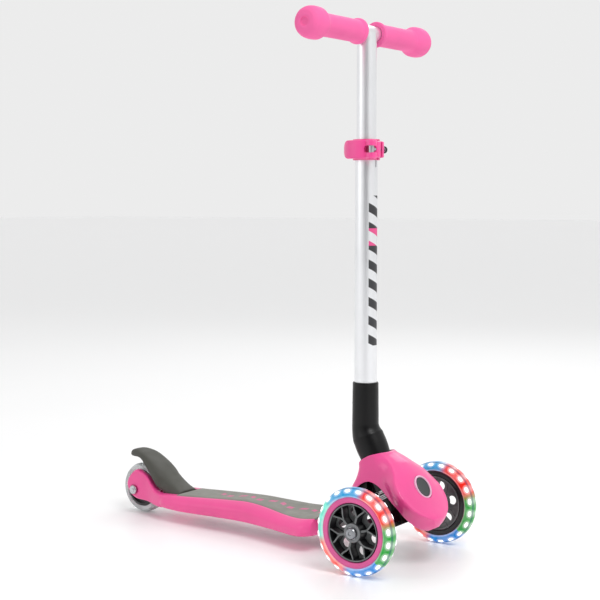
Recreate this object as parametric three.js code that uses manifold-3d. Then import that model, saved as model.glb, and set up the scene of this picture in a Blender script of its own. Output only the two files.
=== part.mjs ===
// Three-wheel kick scooter for a small child: lit front wheels, a T-bar that slides
// for height, and a front hull that hides the sprung steering.
//
// Working frame, in millimetres: X forward with X = 0 over the front axle, Y to the
// rider's left, Z up from the ground. The steering head has a frame of its own, with
// its origin on the front axle: q points forward at right angles to the steering axis,
// s points up along it. The finished group is moved forward by FRAME_SHIFT, so that
// the object's frame starts under the middle of its outline.
import * as THREE from "three";
import { mergeVertices } from "three/addons/utils/BufferGeometryUtils.js";
import Module from "manifold-3d";

const wasm = await Module();
wasm.setup();

// ---- driving dimensions ----
const GAP = 0.3;                 // clearance between fixed neighbours
const FRAME_SHIFT = 229.5;       // front axle ahead of the middle of the outline

const FRONT_RADIUS = 60.5;       // 121 mm front wheels
const WHEEL_SIDES = 24;          // a wheel stands on one of its flats
const FLAT = Math.cos(Math.PI / WHEEL_SIDES);
const FRONT_TRACK = 110;         // half the distance between the front wheels' mid-planes
const FRONT_WIDTH = 24;
const SPOKES = 6;
const REAR_RADIUS = 40;          // 80 mm rear wheel
const REAR_WIDTH = 22;
const REAR_AXLE_X = -487;

const STEER_TILT = 26.5 * Math.PI / 180;   // steering axis leans back this far
const TUBE_X = -58.5;            // vertical T-bar
const CROSSBAR_Z = 739.5;
const UPPER_TUBE_R = 14;
const LOWER_TUBE_R = 16;
const LOWER_TUBE_BORE = 14.3;
const CLAMP_Z = [562, 591];
const CLAMP_MID_Z = (CLAMP_Z[0] + CLAMP_Z[1]) / 2;
const CLAMP_BOLT_X = TUBE_X + 20.9;
const LEVER_PIN_Y = -19.5;       // the lever turns about a barrel on the rider's right
const COLLAR_R = 19.2;
const EAR_Y = [-11.5, 9.5];      // outer faces of the collar's two ears
const EAR_X = TUBE_X + 25.2;
const EAR_ROUND = 5;
const EAR_Z = [CLAMP_Z[0] + 3, CLAMP_Z[1] - 3];
const ELBOW_TOP_Z = 247;
const ELBOW_SCREW_Z = 215;
const SLEEVE_R = 18.5;
const BARREL_R = 21.5;
const ELBOW_LEG = 10;            // length of each leg of the elbow's bend
const SWELL_TOP = 1.1;           // how much fuller the barrel is where its bend begins
const CROSSBAR_R = 11;
const GRIP_END_Y = 150;

// stations along the steering axis, from the axle up
const HUB_S = [-12, 37.2];
const NECK_S = [42, 70];
const HEAD_TUBE_S = [40, 72];
const BARREL_BOTTOM_S = 74.8;
const BUTTON_S = 24.7;
const BUTTON_Q = 54.7;
const BUTTON_TILT = 5 * Math.PI / 180;
const BUTTON_PIN = 33;           // length of the button's lock pin behind its face
const LOCK_HOLE_S = BUTTON_S - BUTTON_PIN * Math.sin(BUTTON_TILT);
const DECK_FRONT_TOP = 51.5;

const BRAKE_PIVOT = [-405, 38];  // X and Z of the brake's hinge
const BRAKE_PIN_R = 2;
const BRAKE_CLEAR = 4.7;         // the fender's hollow stands this far off the tyre at rest

// ---- colours ----
const PINK = 0xf0559b;
const PINK_GRIP = 0xee63a2;
const GREY_PAD = 0x8f8f8a;
const GREY_BRAKE = 0x56564f;
const GREY_HUB = 0x2b2b2d;
const BLACK = 0x161616;
const ALUMINIUM = 0xdcdcdc;
const STEEL = 0xb4b6b8;
const CLEAR = 0xe9f0f2;
const WHITE = 0xf4f4f4;

function material(color, roughness = 0.4, metalness = 0) {
  return new THREE.MeshStandardMaterial({ color, roughness, metalness });
}

const scooter = new THREE.Group();
scooter.position.x = FRAME_SHIFT;

// The steering head's own frame: its Z is s, its X is q.
const head = new THREE.Group();
head.position.z = FRONT_RADIUS;
head.rotation.y = -STEER_TILT;
scooter.add(head);

function add(name, geometry, mat, parent = scooter) {
  const mesh = new THREE.Mesh(geometry, mat);
  mesh.name = name;
  parent.add(mesh);
  return mesh;
}

// ---- solids ----
function toSolid(geometry) {
  const merged = mergeVertices(bare(geometry), 1e-4);
  return new wasm.Manifold(new wasm.Mesh({
    numProp: 3,
    vertProperties: new Float32Array(merged.attributes.position.array),
    triVerts: new Uint32Array(merged.index.array),
  }));
}

function bare(geometry) {
  const copy = geometry.clone();
  copy.deleteAttribute("normal");
  copy.deleteAttribute("uv");
  return copy;
}

function toGeometry(solid) {
  const mesh = solid.getMesh();
  const geometry = new THREE.BufferGeometry();
  const position = new Float32Array(mesh.vertProperties);
  geometry.setAttribute("position", new THREE.BufferAttribute(position, 3));
  geometry.setIndex(new THREE.BufferAttribute(new Uint32Array(mesh.triVerts), 1));
  geometry.computeVertexNormals();
  return geometry;
}

function union(...geometries) {
  return toGeometry(geometries.map(toSolid).reduce((a, b) => a.add(b)));
}

function cut(geometry, ...tools) {
  return toGeometry(tools.map(toSolid).reduce((a, b) => a.subtract(b), toSolid(geometry)));
}

// A turned piece about Z from [radius, height] points; the outline closes on itself.
function turned(points, segments = WHEEL_SIDES) {
  const outline = points.map(([r, z]) => new THREE.Vector2(r, z));
  if (points[0][0] > 0 || points.at(-1)[0] > 0) outline.push(outline[0].clone());
  const area = outline.reduce((sum, p, i) => {
    const n = outline[(i + 1) % outline.length];
    return sum + p.x * n.y - n.x * p.y;
  }, 0);
  if (area < 0) outline.reverse();
  return new THREE.LatheGeometry(outline, segments).rotateX(Math.PI / 2).rotateZ(Math.PI / segments);
}

function ring(inner, outer, low, high, segments = 24) {
  return turned([[inner, low], [outer, low], [outer, high], [inner, high]], segments);
}

function rod(radius, low, high, segments = 24) {
  const length = high - low;
  return new THREE.CylinderGeometry(radius, radius, length, segments)
    .rotateX(Math.PI / 2).rotateZ(Math.PI / segments).translate(0, 0, (low + high) / 2);
}

function box(low, high) {
  const size = high.map((v, i) => v - low[i]);
  const middle = high.map((v, i) => (v + low[i]) / 2);
  return new THREE.BoxGeometry(...size).translate(...middle);
}

// A side outline of [x, z] points, extruded from y0 to y1.
function sidePlate(points, y0, y1) {
  const shape = new THREE.Shape(points.map(([x, z]) => new THREE.Vector2(x, z)));
  return new THREE.ExtrudeGeometry(shape, { depth: y1 - y0, bevelEnabled: false })
    .rotateX(Math.PI / 2).translate(0, y1, 0);
}

// A closed body through rings of points; each ring has the same number of points.
function loft(rings) {
  const count = rings[0].length;
  const position = rings.flat(2);
  const index = [];
  for (let i = 0; i < rings.length - 1; i++) {
    for (let k = 0; k < count; k++) {
      const a = i * count + k;
      const b = i * count + (k + 1) % count;
      index.push(a, b, b + count, a, b + count, a + count);
    }
  }
  for (const [first, flip] of [[0, true], [(rings.length - 1) * count, false]]) {
    const flat = rings[first / count];
    const centre = flat[0].map((_, j) => flat.reduce((sum, p) => sum + p[j], 0) / count);
    const hub = position.length / 3;
    position.push(...centre);
    for (let k = 0; k < count; k++) {
      const a = first + k;
      const b = first + (k + 1) % count;
      index.push(...(flip ? [b, a, hub] : [a, b, hub]));
    }
  }
  const geometry = new THREE.BufferGeometry();
  geometry.setAttribute("position", new THREE.BufferAttribute(new Float32Array(position), 3));
  geometry.setIndex(index);
  if (signedVolume(geometry) < 0) geometry.setIndex(index.reverse());
  return geometry;
}

function signedVolume(geometry) {
  const p = geometry.attributes.position;
  const v = [0, 1, 2].map(() => new THREE.Vector3());
  let sum = 0;
  for (let i = 0; i < geometry.index.count; i += 3) {
    v.forEach((corner, k) => corner.fromBufferAttribute(p, geometry.index.getX(i + k)));
    sum += v[0].dot(v[1].clone().cross(v[2]));
  }
  return sum;
}

// Smooth values between stations: rows of numbers, first column increasing.
function stations(rows, steps) {
  const out = [];
  for (let i = 0; i < rows.length - 1; i++) {
    const [p0, p1, p2, p3] = [-1, 0, 1, 2].map(
      (k) => rows[Math.min(Math.max(i + k, 0), rows.length - 1)]);
    for (let k = 0; k < steps; k++) {
      const t = k / steps;
      out.push(p1.map((_, j) => catmullRom(p0[j], p1[j], p2[j], p3[j], t)));
    }
  }
  out.push(rows.at(-1));
  return out;
}

function catmullRom(a, b, c, d, t) {
  return 0.5 * (2 * b + (c - a) * t + (2 * a - 5 * b + 4 * c - d) * t ** 2
    + (3 * b - a - 3 * c + d) * t ** 3);
}

// A wire coil about Z.
function coil(radius, wire, low, high, turns) {
  class Helix extends THREE.Curve {
    getPoint(t, target = new THREE.Vector3()) {
      const a = 2 * Math.PI * turns * t;
      return target.set(radius * Math.cos(a), radius * Math.sin(a), low + (high - low) * t);
    }
  }
  const section = new THREE.Shape();
  section.absarc(0, 0, wire / 2, 0, 2 * Math.PI);
  return new THREE.ExtrudeGeometry(section, {
    extrudePath: new Helix(), steps: Math.round(turns * 9), curveSegments: 3,
  });
}

// ---- deck ----
// Stations along the deck: X, pad half-width, pad height, outer half-width, underside.
const DECK = [
  [-424, 30, 42, 37, 20],
  [-412, 33, 42.5, 41, 19.4],
  [-378, 32, 44, 43, 18.8],
  [-333, 30, 47, 43.5, 20],
  [-282, 27.5, 50, 43.5, 21],
  [-251, 27, 51, 44, 21],
  [-215, 31.5, 49, 48, 20.5],
  [-177, 40, 46, 55, 20],
  [-148, 48, 46, 62, 20],
  [-128, 52, 48, 65, 22],
  [-112, 50, 50, 61, 25],
];

function deckRing([x, pad, top, half, under]) {
  const right = [
    [pad, top], [pad + 2, top - 0.4], [(pad + half) / 2 + 1.5, top - 4.5], [half - 1, top - 10],
    [half, top - 14], [half - 1.5, under + 5], [half - 5, under + 1.5], [half - 10, under],
  ];
  const left = right.map(([y, z]) => [-y, z]).reverse();
  return [...right, ...left].map(([y, z]) => [x, y, z]);
}

// Rear fork: X, outer half-width, underside, top.
const FORK = [
  [-503, 27.2, 45, 51],
  [-500, 27.4, 38, 58],
  [-494, 27.5, 31, 65.5],
  [-485, 27.5, 26, 72.5],
  [-476, 27.6, 24.8, 71],
  [-461, 28, 24.2, 64],
  [-449.5, 30, 22.4, 52.5],
  [-438.5, 33, 20.8, 44],
  [-424, 36.7, 20.6, 41.6],
  [-408, 38, 22.5, 39.5],
];
const FORK_INNER = 14.5;

function forkRing([x, half, under, top], side) {
  const r = Math.min(3, (top - under) / 3);
  const outline = [
    [FORK_INNER, under], [half - r, under], [half, under + r],
    [half, top - r], [half - r, top], [FORK_INNER, top],
  ];
  return outline.map(([y, z]) => [x, side * y, z]);
}

// Neck from the deck up to the steering head: X, half-width, Z of the lower and upper face.
const NECK = [
  [-111, 40, 27, 46],
  [-104, 36, 29, 47.5],
  [-95, 30, 33, 50.5],
  [-80, 22, 48, 72],
  [-62, 19, 70, 102],
  [-44, 18, 82, 117],
];

function neckRing([x, half, low, high]) {
  const r = 5;
  return [
    [half, low + r], [half, high - r], [half - r, high], [r - half, high],
    [-half, high - r], [-half, low + r], [r - half, low], [half - r, low],
  ].map(([y, z]) => [x, y, z]);
}

function inHead(geometry) {
  return geometry.clone().rotateY(-STEER_TILT).translate(0, 0, FRONT_RADIUS);
}

// Pocket under the deck, with the screws that go up into it.
const POCKET_REAR_X = -380;
const POCKET_HALF = 22;
const POCKET_TOP = 34;
const UNDERSIDE_SCREWS = [-366, -164, -132].flatMap((x) => [[x, -12], [x, 12]]);
const SCREW_PLACES = ["plate_screw_rear", "plate_screw_front", "head_screw"];
const PLATE_Z = [29, 32];
const SINK_TOP = PLATE_Z[0] + 2.2;      // depth that the screw heads are sunk to

function screwHole(x, y) {
  return union(rod(2.6, 20, 40.5, 12), rod(4.6, 20, SINK_TOP, 14)).translate(x, y, 0);
}

const PAD_RECESS = 2.5;
const PAD_ENDS = [-393, -111];

function padRing([x, pad, top], inset, low, high) {
  const half = pad - inset;
  return [[half, top + high], [-half, top + high], [-half, top + low], [half, top + low]]
    .map(([y, z]) => [x, y, z]);
}

function padRows() {
  return stations(DECK, 2).filter(([x]) => x > PAD_ENDS[0] && x < PAD_ENDS[1]);
}

function buildDeck() {
  const brakePin = [BRAKE_PIVOT[0], 0, BRAKE_PIVOT[1]];
  let body = toSolid(loft(stations(DECK, 1).map(deckRing)));
  for (const side of [1, -1]) {
    body = body.add(toSolid(loft(FORK.map((row) => forkRing(row, side)))));
  }
  // recess for the pad, pocket under the deck, wheel room, bores
  const tools = [
    loft(padRows().map((row) => padRing(row, 0.8, -PAD_RECESS, 4))),
    box([POCKET_REAR_X, -POCKET_HALF, 10], [-100, POCKET_HALF, POCKET_TOP]),
    ...UNDERSIDE_SCREWS.map(([x, y]) => screwHole(x, y)),
    rod(REAR_RADIUS + 4, -FORK_INNER, FORK_INNER, 28).rotateX(Math.PI / 2)
      .translate(REAR_AXLE_X, 0, REAR_RADIUS),
    rod(4.4, -40, 40, 16).rotateX(Math.PI / 2).translate(REAR_AXLE_X, 0, REAR_RADIUS),
    box([-436, -24.2, 28], [BRAKE_PIVOT[0] + 12, 24.2, 60]),
    rod(BRAKE_PIN_R + GAP, -31, 31, 16).rotateX(Math.PI / 2).translate(...brakePin),
  ];
  body = tools.map(toSolid).reduce((a, b) => a.subtract(b), body);
  add("deck_body", toGeometry(body), material(PINK, 0.35));
  add("deck_grip_pad", loft(padRows().map((row) => padRing(row, 1.1, GAP - PAD_RECESS, 0))),
    material(GREY_PAD, 0.75));
  buildUnderside();
}

function buildUnderside() {
  const [low, high] = PLATE_Z;
  const plate = box([POCKET_REAR_X + 2, -POCKET_HALF + 2, low], [-152, POCKET_HALF - 2, high]);
  const holes = UNDERSIDE_SCREWS.map(([x, y]) => screwHole(x, y));
  add("deck_stiffener_plate", cut(plate, ...holes), material(STEEL, 0.45, 1));
  UNDERSIDE_SCREWS.forEach(([x, y], i) => {
    const under = SINK_TOP - GAP;
    const screw = turned([
      [0, low + GAP], [3.6, low + GAP], [4.2, under], [2.2, under], [2.2, 40], [0, 40],
    ], 10);
    const name = `${SCREW_PLACES[Math.floor(i / 2)]}_${y < 0 ? "right" : "left"}`;
    add(name, screw.translate(x, y, 0), material(STEEL, 0.35, 1));
  });
  // steering head: a tongue in the deck's pocket, a rising neck, and the bearing collar
  const front = DECK.at(-1)[0] + GAP;
  const neck = stations(NECK, 2).filter(([x]) => x > front);
  const tongue = box([-148, -POCKET_HALF + 1, low], [front + 6, POCKET_HALF - 1, POCKET_TOP - GAP]);
  const bracket = cut(
    union(loft(neck.map(neckRing)), tongue, inHead(rod(22, ...NECK_S, 24))),
    inHead(rod(17.8, 20, 90, 24)),
    inHead(rod(26, -30, NECK_S[0], 24)),
    ...holes);
  add("steering_head", bracket, material(BLACK, 0.55));
}

// ---- rear wheel and brake ----
function alongY(geometry, x, z) {
  return geometry.rotateX(-Math.PI / 2).translate(x, 0, z);
}

function bearing(name, y0, y1, x, z, mat) {
  const body = turned([[4, y0], [10.9, y0], [10.9, y1], [4, y1]], 14);
  add(name, alongY(body, x, z), mat);
}

function buildRearWheel() {
  const half = REAR_WIDTH / 2;
  const place = (geometry) => alongY(geometry, REAR_AXLE_X, REAR_RADIUS);
  const outer = REAR_RADIUS / FLAT;
  const tyre = turned([
    [29.8, -half + 1], [35, -half], [39.2, -half + 5], [outer, -3], [outer, 3], [39.2, half - 5],
    [35, half], [29.8, half - 1],
  ], WHEEL_SIDES);
  add("rear_tyre", place(tyre), material(CLEAR, 0.15));
  const hub = turned([
    [8, -3], [11.2, -3], [11.2, -half], [14, -half], [14, -5], [26, -5], [26, -half + 1],
    [29.5, -half + 1], [29.5, half - 1], [26, half - 1], [26, 5], [14, 5], [14, half],
    [11.2, half], [11.2, 3], [8, 3],
  ], 20);
  add("rear_hub", place(hub), material(GREY_HUB, 0.5));
  bearing("rear_bearing_right", -half + 0.5, -half + 7.5, REAR_AXLE_X, REAR_RADIUS, material(STEEL, 0.3, 1));
  bearing("rear_bearing_left", half - 7.5, half - 0.5, REAR_AXLE_X, REAR_RADIUS, material(STEEL, 0.3, 1));
  add("rear_bearing_spacer", place(ring(4, 6, -3.2, 3.2, 12)), material(STEEL, 0.4, 1));
  add("rear_side_spacer_right", place(ring(4, 6.5, -FORK_INNER + GAP, -half, 12)), material(STEEL, 0.4, 1));
  add("rear_side_spacer_left", place(ring(4, 6.5, half, FORK_INNER - GAP, 12)), material(STEEL, 0.4, 1));
  const bolt = turned([[0, -32.6], [5.5, -32.6], [7, -31], [7, -27.9], [3.7, -27.9], [3.7, 33], [0, 33]], 14);
  add("rear_axle_bolt", place(bolt), material(STEEL, 0.3, 1));
  add("rear_axle_nut", place(turned([[4.5, 27.9], [7.5, 27.9], [7.5, 32.5], [4.5, 34]], 6)),
    material(STEEL, 0.35, 1));
}

// Brake fender: X, top, flank's lower edge, half-width.
const BRAKE = [
  [-510, 97.5, 93, 9],
  [-506.5, 101.5, 91, 13],
  [-497, 103.5, 90.5, 16],
  [-485.5, 101.5, 91, 19.5],
  [-475, 98, 87, 22],
  [-463, 92, 76, 24.5],
  [-451, 84.5, 64, 26.5],
  [-440, 76.5, 51, 27],
  [-432, 70.5, 45.5, 24],
  [-424, 64, 40, 23.8],
  [-410, 54.5, 32, 23.8],
  [-396, 46.8, 33.5, 23.8],
];

function brakeRing([x, top, low, half]) {
  const depth = top - low;
  return [
    [half, low], [half * 0.98, low + depth * 0.45], [half * 0.82, top - depth * 0.16], [half * 0.5, top - 1],
    [-half * 0.5, top - 1], [-half * 0.82, top - depth * 0.16], [-half * 0.98, low + depth * 0.45],
    [-half, low],
  ].map(([y, z]) => [x, y, z]);
}

function buildBrake() {
  const [px, pz] = BRAKE_PIVOT;
  const body = cut(
    loft(stations(BRAKE, 2).map(brakeRing)),
    rod(REAR_RADIUS + BRAKE_CLEAR, -14, 14, 40).rotateX(Math.PI / 2).translate(REAR_AXLE_X, 0, REAR_RADIUS),
    rod(BRAKE_PIN_R + GAP, -40, 40, 16).rotateX(Math.PI / 2).translate(px, 0, pz),
  );
  add("rear_brake", body, material(GREY_BRAKE, 0.6));
  const pin = rod(BRAKE_PIN_R, -30.5, 30.5, 16).rotateX(Math.PI / 2).translate(px, 0, pz);
  add("brake_hinge_pin", pin, material(STEEL, 0.35, 1));
}

// ---- front wheels ----
function buildFrontWheel(side, prefix) {
  const half = FRONT_WIDTH / 2;
  const middle = side * FRONT_TRACK;
  const wheel = new THREE.Group();
  wheel.position.set(0, middle, FRONT_RADIUS);
  // local Z is the axle, pointing away from the scooter
  wheel.rotation.x = -side * Math.PI / 2;
  scooter.add(wheel);

  const outer = FRONT_RADIUS / FLAT;
  const tyre = turned([
    [48.4, -half + 1], [54.5, -half], [59.4, -half + 5.5], [outer, -3], [outer, 3],
    [59.4, half - 5.5], [54.5, half], [48.4, half - 1],
  ], WHEEL_SIDES);
  add(`${prefix}_tyre`, tyre, material(CLEAR, 0.12), wheel);
  add(`${prefix}_light_ring`, ring(45.8, 48.1, -6, 6, 24), material(WHITE, 0.3), wheel);
  const core = turned([
    [40.3, -half + 1], [48.1, -half + 1], [48.1, -6.3], [45.5, -6.3], [45.5, 6.3], [48.1, 6.3],
    [48.1, half - 1], [40.3, half - 1],
  ], 24);
  add(`${prefix}_core_ring`, core, material(PINK, 0.35), wheel);

  const rim = ring(36.5, 40, -half + 1.5, half - 1.5, 24);
  const boss = rod(13.5, -half + 0.5, half - 0.5, 16);
  const web = rod(38, -3, -1, 24);
  const spokes = [];
  for (let i = 0; i < SPOKES; i++) {
    spokes.push(box([10, -2.5, -3], [38, 2.5, half - 3]).rotateZ(2 * Math.PI * i / SPOKES));
  }
  const hub = cut(union(rim, boss, web, ...spokes),
    rod(8.5, -half - 1, half + 1, 14),
    rod(11.3, -half - 1, -half + 8, 14), rod(11.3, half - 8, half + 1, 14));
  add(`${prefix}_hub`, hub, material(GREY_HUB, 0.45), wheel);
  const races = [["inner", -half + 0.7], ["outer", half - 7.7]];
  for (const [place, low] of races) {
    add(`${prefix}_bearing_${place}`, ring(4, 10.9, low, low + 7, 14), material(STEEL, 0.3, 1), wheel);
  }
  add(`${prefix}_bearing_spacer`, ring(4, 6, -4, 4, 12), material(STEEL, 0.4, 1), wheel);
  const bolt = turned([
    [0, -52], [3.7, -52], [3.7, half + 0.3], [8, half + 0.3], [8, half + 2.5], [6.5, half + 4.6],
    [0, half + 5.2],
  ], 14);
  add(`${prefix}_axle_bolt`, bolt, material(STEEL, 0.3, 1), wheel);
}

// ---- steering ----
function buildSteering() {
  const [hubLow, hubHigh] = HUB_S;
  const beamEnd = FRONT_TRACK - FRONT_WIDTH / 2 - 1.5;
  const beam = box([-9, -beamEnd + 8, -7], [9, beamEnd - 8, 10]);
  const ends = [1, -1].map((side) => rod(9.5, beamEnd - 30, beamEnd, 16).rotateX(-side * Math.PI / 2));
  const bolts = [1, -1].map((side) => rod(4, 50, 110, 12).rotateX(-side * Math.PI / 2));
  const carrier = cut(union(rod(17, hubLow, hubHigh, 22), beam, ...ends),
    rod(8.5, hubLow + 4, hubHigh + 1, 16),
    rod(3.6, 9, 30, 12).rotateY(Math.PI / 2).translate(0, 0, LOCK_HOLE_S),
    ...bolts);
  add("axle_carrier", carrier, material(BLACK, 0.55), head);
  add("steering_spindle", rod(8.2, hubLow + 4.3, 112, 16), material(STEEL, 0.3, 1), head);
  add("head_tube", ring(13.5, 17.5, ...HEAD_TUBE_S, 24), material(ALUMINIUM, 0.35, 1), head);
  const bush = [[8.5, -12], [13.2, -12], [13.2, GAP], [16.5, GAP], [16.5, 2.3], [8.5, 2.3]];
  const upper = turned(bush.map(([r, z]) => [r, HEAD_TUBE_S[1] + z]), 18);
  const lower = turned(bush.map(([r, z]) => [r, HEAD_TUBE_S[0] - z]), 18);
  add("upper_steering_bush", upper, material(WHITE, 0.5), head);
  add("lower_steering_bush", lower, material(WHITE, 0.5), head);
  add("centering_spring", coil(19.4, 2.2, 28.5, 35.5, 3), material(STEEL, 0.35, 1), head);
}

// How much fuller the elbow's barrel is than BARREL_R, at stations up the steering axis.
const ELBOW_SWELL = [[BARREL_BOTTOM_S, 0], [88, 0], [98, 0.9], [107, 1.4], [117, SWELL_TOP]];

// Elbow: straight up the steering axis, then round to the vertical.
function elbowRings() {
  const along = (s) => [-s * Math.sin(STEER_TILT), FRONT_RADIUS + s * Math.cos(STEER_TILT)];
  const cornerS = -TUBE_X / Math.sin(STEER_TILT);
  const start = along(cornerS - ELBOW_LEG);
  const corner = along(cornerS);
  const end = [TUBE_X, corner[1] + ELBOW_LEG];
  const rings = [];
  const put = ([x, z], angle, radius) => {
    const ringPoints = [];
    for (let k = 0; k < 24; k++) {
      const a = 2 * Math.PI * k / 24;
      const q = radius * Math.cos(a);
      ringPoints.push([x + q * Math.cos(angle), radius * Math.sin(a), z + q * Math.sin(angle)]);
    }
    rings.push(ringPoints);
  };
  for (const [s, swell] of ELBOW_SWELL) put(along(s), STEER_TILT, BARREL_R + swell);
  const bendTop = SLEEVE_R + 0.6;
  for (let k = 0; k <= 4; k++) {
    const t = k / 4;
    const point = [0, 1].map((j) => (1 - t) ** 2 * start[j] + 2 * t * (1 - t) * corner[j] + t * t * end[j]);
    put(point, STEER_TILT * (1 - t), bendTop + (BARREL_R + SWELL_TOP - bendTop) * (1 - t) ** 1.6);
  }
  put([TUBE_X, ELBOW_TOP_Z - 1.5], 0, SLEEVE_R);
  put([TUBE_X, ELBOW_TOP_Z], 0, SLEEVE_R - 1.2);
  return rings;
}

function buildTBar() {
  const tubeBottom = 180;
  const atTube = (geometry) => geometry.translate(TUBE_X, 0, 0);
  const fromBehind = (geometry) => geometry.rotateY(-Math.PI / 2).translate(TUBE_X, 0, ELBOW_SCREW_Z);
  const screwBore = fromBehind(rod(2.6, 0, 40, 12));
  const elbow = cut(loft(elbowRings()),
    atTube(rod(LOWER_TUBE_R + GAP, tubeBottom, ELBOW_TOP_Z + 5, 24)),
    inHead(rod(8.5, BARREL_BOTTOM_S - 5, 112.5, 16)),
    screwBore);
  add("steering_elbow", elbow, material(BLACK, 0.5));
  const screw = turned([[0, 14.6], [2.3, 14.6], [2.3, 18.9], [4.2, 18.9], [4.2, 20.2], [0, 20.6]], 16);
  add("elbow_screw", fromBehind(screw), material(STEEL, 0.35, 1));

  const tubeTop = CLAMP_Z[1] - 4;
  const lower = cut(atTube(ring(LOWER_TUBE_BORE, LOWER_TUBE_R, tubeBottom + GAP, tubeTop, 28)),
    box([TUBE_X + 5, -1.6, CLAMP_Z[0] - 10], [TUBE_X + 20, 1.6, tubeTop + 1]),
    screwBore);
  add("lower_tube", lower, material(ALUMINIUM, 0.3, 1));

  const bar = rod(CROSSBAR_R, -141, 141, 24).rotateX(Math.PI / 2).translate(TUBE_X, 0, CROSSBAR_Z);
  const barBore = rod(CROSSBAR_R - 1.6, -150, 150, 20).rotateX(Math.PI / 2).translate(TUBE_X, 0, CROSSBAR_Z);
  const tee = cut(union(atTube(rod(UPPER_TUBE_R, 440, CROSSBAR_Z, 28)), bar),
    atTube(rod(UPPER_TUBE_R - 1.5, 430, CROSSBAR_Z, 24)), barBore);
  add("handlebar_tee", tee, material(ALUMINIUM, 0.3, 1));
  for (const [name, side] of [["right_grip", -1], ["left_grip", 1]]) {
    const bore = CROSSBAR_R + GAP;
    const grip = turned([
      [bore, 21], [18, 21.5], [18, 26], [15.7, 28.5], [15.7, 108], [18, 115], [22, 123], [22, 137],
      [20, 144], [13, GRIP_END_Y], [0, GRIP_END_Y - 1], [0, 141.5], [bore, 141.5],
    ], 18);
    add(name, grip.rotateX(-side * Math.PI / 2).translate(TUBE_X, 0, CROSSBAR_Z),
      material(PINK_GRIP, 0.7));
  }
}

// ---- height clamp ----
function buildClamp() {
  const [low, high] = CLAMP_Z;
  const [right, left] = EAR_Y;
  const [earLow, earHigh] = EAR_Z;
  const ears = union(
    box([TUBE_X + 12, right, earLow], [EAR_X - EAR_ROUND, left, earHigh]),
    box([TUBE_X + 12, right + EAR_ROUND, earLow], [EAR_X, left - EAR_ROUND, earHigh]),
    ...[right + EAR_ROUND, left - EAR_ROUND].map(
      (y) => rod(EAR_ROUND, ...EAR_Z, 20).translate(EAR_X - EAR_ROUND, y, 0)),
  );
  const collar = cut(union(rod(COLLAR_R, low, high, 28).translate(TUBE_X, 0, 0), ears),
    rod(LOWER_TUBE_R + GAP, low - 1, high + 1, 28).translate(TUBE_X, 0, 0),
    box([TUBE_X + 5, -2.2, low - 1], [TUBE_X + 33, 2.2, high + 1]),
    rod(2.8, -20, 20, 16).rotateX(Math.PI / 2).translate(CLAMP_BOLT_X, 0, CLAMP_MID_Z));
  add("clamp_collar", collar, material(PINK, 0.35));
  const along = (geometry) => geometry.rotateX(-Math.PI / 2).translate(CLAMP_BOLT_X, 0, CLAMP_MID_Z);
  add("clamp_bolt", along(rod(2.5, LEVER_PIN_Y + 4.2, 15, 16)), material(STEEL, 0.3, 1));
  add("clamp_washer", along(ring(2.8, 4.2, left + GAP, 10.8, 16)), material(STEEL, 0.3, 1));
  add("clamp_nut", along(ring(2.8, 5.1, 11.1, 14.4, 18)), material(BLACK, 0.5));
  const pin = rod(3.9, low + 3, high - 3, 20).translate(CLAMP_BOLT_X, LEVER_PIN_Y, 0);
  add("clamp_pivot_pin", pin, material(STEEL, 0.3, 1));

  // lever: a strip bent round the collar from the pivot eye to its free tip
  const outline = [];
  const turn = (t) => (-45 - 104 * t) * Math.PI / 180;
  const innerRadius = (t) => 21.2 + 6.3 * t * t;
  const steps = 9;
  for (let k = 0; k <= steps; k++) {
    const t = k / steps;
    const r = innerRadius(t) + 5.6 - 1.2 * t;
    outline.push([r * Math.cos(turn(t)), r * Math.sin(turn(t))]);
  }
  for (let k = steps; k >= 0; k--) {
    const t = k / steps;
    outline.push([innerRadius(t) * Math.cos(turn(t)), innerRadius(t) * Math.sin(turn(t))]);
  }
  const shape = new THREE.Shape(outline.map(([x, y]) => new THREE.Vector2(x, y)));
  const arm = new THREE.ExtrudeGeometry(shape, { depth: high - low - 3, bevelEnabled: false })
    .translate(TUBE_X, 0, low + 1.5);
  const eye = rod(7.4, low + 1.5, high - 1.5, 24).translate(CLAMP_BOLT_X, LEVER_PIN_Y, 0);
  const lever = cut(union(arm, eye),
    rod(4.2, low, high, 20).translate(CLAMP_BOLT_X, LEVER_PIN_Y, 0),
    box([CLAMP_BOLT_X - 9.5, LEVER_PIN_Y - 9, CLAMP_MID_Z - 5],
      [CLAMP_BOLT_X + 9, LEVER_PIN_Y + 9, CLAMP_MID_Z + 5]));
  add("clamp_lever", lever, material(PINK, 0.35));
}

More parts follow.
